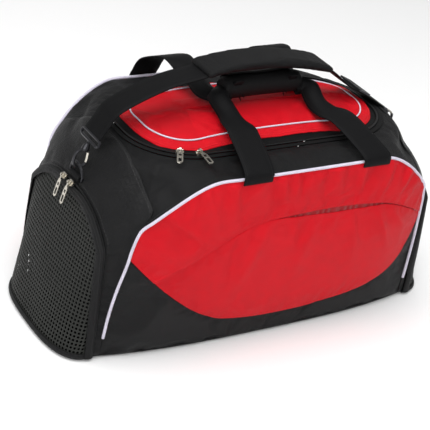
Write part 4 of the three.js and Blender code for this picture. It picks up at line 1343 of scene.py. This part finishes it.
class BAG_OT_finishes(bpy.types.Operator):
    """Mix the finishes of the cloth, webbing, zips and hardware"""
    bl_idname = "bag.finishes"
    bl_label = "Finishes"

    def execute(self, context):
        colours = context.scene.bag_colours
        sizes = context.scene.bag_sizes
        build_weave()
        build_rib()
        build_stitches()
        build_crumple()
        red, black = tuple(colours.red), tuple(colours.black)
        woven_finish("red cloth", red, sizes.thread, dobby=0.0032, contrast=0.22,
                     sheen=0.0, shine=0.13, rough=0.5, creases=0.0018,
                     edges=[(1, 0, 0.004)])
        woven_finish("red lining", [c * 0.62 for c in red], sizes.thread, contrast=0.3)
        woven_finish("black cloth", black, sizes.thread, dobby=0.0032, contrast=0.4,
                     rough=0.52, sheen=0.0, shine=0.16, creases=0.0024,
                     edges=[(1, 0, 0.004)])
        woven_finish("shoulder cloth", black, sizes.thread, dobby=0.0036, contrast=0.5,
                     rough=0.46, sheen=0.0, shine=0.18, creases=0.0028,
                     edges=[(0, 1, 0.004), (0, 1, 0.046)])
        woven_finish("black padding", black, 0.0012, on_cloth=False, contrast=0.4,
                     rough=0.6, sheen=0.0, shine=0.14)
        woven_finish("black lining", [c * 0.8 for c in black], 0.0012, on_cloth=False,
                     contrast=0.4, rough=0.6, sheen=0.0, shine=0.12)
        webbing_finish("woven webbing", tuple(colours.webbing), sizes.webbing)
        woven_finish("plain webbing", tuple(colours.webbing), 0.0015, on_cloth=False,
                     contrast=0.5, sheen=0.0, shine=0.14)
        woven_finish("zip tape", [c * 0.8 for c in black], 0.0008, contrast=0.4, sheen=0.0,
                     on_cloth=False, shine=0.12)
        woven_finish("piping cloth", tuple(colours.piping), 0.0007, contrast=0.12, sheen=0.1,
                     rough=0.5)
        moulded_finish("zip coil", [c * 1.3 for c in black], 0.35, on_ribs=0.0013)
        moulded_finish("knitted net", tuple(colours.mesh), 0.55)
        moulded_finish("stiff board", (0.05, 0.05, 0.05), 0.6, 120.0)
        metal_finish("nickel plate", tuple(colours.nickel), 0.24)
        metal_finish("dark metal", tuple(colours.dark_metal), 0.3, metallic=0.8)
        return {"FINISHED"}


# ---------- the stage ----------

# The camera's turn, rise and roll in degrees, the place it looks at and how far off it is.
CAMERA_ANGLES = (-34.25, 29.11, 9.06)
CAMERA_AIM = (-0.03176, -0.00231, 0.14592)
CAMERA_AWAY = 2.30924
CAMERA_LENS, CAMERA_SENSOR = 118.07, 36


class BAG_OT_stage(bpy.types.Operator):
    """Lay the pale floor, hang the soft lights and set up the camera"""
    bl_idname = "bag.stage"
    bl_label = "Stage"

    def execute(self, context):
        scene = context.scene
        bm = bmesh.new()
        bmesh.ops.create_grid(bm, x_segments=4, y_segments=4, size=6.0)
        mesh = bpy.data.meshes.new("floor")
        bm.to_mesh(mesh)
        bm.free()
        floor = bpy.data.objects.new("floor", mesh)
        scene.collection.objects.link(floor)
        _, shader = new_finish("pale floor")
        shader.inputs["Base Color"].default_value = (0.9, 0.9, 0.9, 1)
        shader.inputs["Roughness"].default_value = 0.9
        mesh.materials.append(bpy.data.materials["pale floor"])

        world = bpy.data.worlds.new("studio")
        world.use_nodes = True
        world.node_tree.nodes["Background"].inputs["Color"].default_value = (1, 1, 1, 1)
        world.node_tree.nodes["Background"].inputs["Strength"].default_value = 0.42
        scene.world = world
        for name, place, size, power in (
                ("top light", (-0.5, -0.4, 3.0), 3.0, 95.0),
                ("key light", (-1.9, -2.3, 1.9), 1.5, 42.0),
                ("fill light", (2.2, -1.8, 1.4), 1.8, 10.0)):
            light = bpy.data.lights.new(name, "AREA")
            light.energy = power
            light.size = size
            lamp = bpy.data.objects.new(name, light)
            lamp.location = place
            aim = Vector((0, 0, 0.15)) - Vector(place)
            lamp.rotation_euler = aim.to_track_quat("-Z", "Y").to_euler()
            scene.collection.objects.link(lamp)

        turn, rise, roll = (math.radians(a) for a in CAMERA_ANGLES)
        back = Vector((math.sin(turn) * math.cos(rise), -math.cos(turn) * math.cos(rise),
                       math.sin(rise)))
        level = Vector((math.cos(turn), math.sin(turn), 0))
        upright = back.cross(level)
        right = level * math.cos(roll) + upright * math.sin(roll)
        up = upright * math.cos(roll) - level * math.sin(roll)
        lens = bpy.data.cameras.new("camera")
        lens.lens = CAMERA_LENS
        lens.sensor_width = CAMERA_SENSOR
        lens.clip_end = 50
        camera = bpy.data.objects.new("camera", lens)
        scene.collection.objects.link(camera)
        place = Vector(CAMERA_AIM) + back * CAMERA_AWAY
        camera.matrix_world = Matrix.Translation(place) @ Matrix((
            (right.x, up.x, back.x), (right.y, up.y, back.y), (right.z, up.z, back.z),
        )).to_4x4()
        scene.camera = camera
        scene.view_settings.view_transform = "Standard"
        return {"FINISHED"}


# ---------- the add-on ----------

class BagSizes(bpy.types.PropertyGroup):
    """The bag's sizes that a maker would change"""
    webbing: FloatProperty(
        name="Webbing width", description="Width of the handles and the strap",
        default=0.050, min=0.03, max=0.06, unit="LENGTH")
    piping: FloatProperty(
        name="Piping radius", description="Radius of the cord round the side panels",
        default=0.0024, min=0.001, max=0.004, unit="LENGTH")
    thread: FloatProperty(
        name="Thread spacing", description="Spacing of the threads in the shell cloth",
        default=0.0011, min=0.0004, max=0.003, unit="LENGTH")
    net: FloatProperty(
        name="Mesh spacing", description="Spacing of the holes in the end pockets' mesh",
        default=0.0066, min=0.003, max=0.02, unit="LENGTH")
    spare: FloatProperty(
        name="Spare cloth", description="Share by which each panel is cut larger than its seams",
        default=0.022, min=0.0, max=0.08, subtype="FACTOR")


class BagColours(bpy.types.PropertyGroup):
    """The bag's colours"""
    red: FloatVectorProperty(
        name="Leaf cloth", description="Colour of the leaf panels and the lid",
        default=(0.56, 0.0035, 0.011), min=0, max=1, subtype="COLOR")
    black: FloatVectorProperty(
        name="Shell cloth", description="Colour of the rest of the shell",
        default=(0.0062, 0.0062, 0.0066), min=0, max=1, subtype="COLOR")
    webbing: FloatVectorProperty(
        name="Webbing", description="Colour of the handles and the strap",
        default=(0.0070, 0.0070, 0.0075), min=0, max=1, subtype="COLOR")
    piping: FloatVectorProperty(
        name="Piping", description="Colour of the cords in the seams",
        default=(0.72, 0.68, 0.80), min=0, max=1, subtype="COLOR")
    mesh: FloatVectorProperty(
        name="Mesh", description="Colour of the end pockets' mesh",
        default=(0.016, 0.017, 0.015), min=0, max=1, subtype="COLOR")
    nickel: FloatVectorProperty(
        name="Sliders", description="Colour of the zips' sliders and pulls",
        default=(0.70, 0.66, 0.58), min=0, max=1, subtype="COLOR")
    dark_metal: FloatVectorProperty(
        name="Hooks", description="Colour of the hooks and rings",
        default=(0.045, 0.045, 0.05), min=0, max=1, subtype="COLOR")


OPERATORS = (
    BAG_OT_finishes, BAG_OT_side_panels, BAG_OT_slash_pocket, BAG_OT_deck, BAG_OT_lid,
    BAG_OT_end_shells, BAG_OT_pipings, BAG_OT_end_pockets, BAG_OT_handles, BAG_OT_grip,
    BAG_OT_shoulder_strap, BAG_OT_hardware, BAG_OT_stage,
)


class BAG_PT_panel(bpy.types.Panel):
    """The bag's sizes, colours and pieces"""
    bl_idname = "BAG_PT_panel"
    bl_label = "Domed sports bag"
    bl_space_type = "VIEW_3D"
    bl_region_type = "UI"
    bl_category = "Bag"

    def draw(self, context):
        for group in (context.scene.bag_sizes, context.scene.bag_colours):
            for label in group.__annotations__:
                self.layout.prop(group, label)
        for operator in OPERATORS:
            self.layout.operator(operator.bl_idname)


CLASSES = (BagSizes, BagColours, *OPERATORS, BAG_PT_panel)


def register():
    for kind in CLASSES:
        bpy.utils.register_class(kind)
    bpy.types.Scene.bag_sizes = PointerProperty(type=BagSizes)
    bpy.types.Scene.bag_colours = PointerProperty(type=BagColours)


def unregister():
    del bpy.types.Scene.bag_colours
    del bpy.types.Scene.bag_sizes
    for kind in reversed(CLASSES):
        bpy.utils.unregister_class(kind)


def main():
    """Registers the add-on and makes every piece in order."""
    register()
    for operator in OPERATORS:
        group, name = operator.bl_idname.split(".")
        getattr(getattr(bpy.ops, group), name)()


if __name__ == "__main__":
    main()
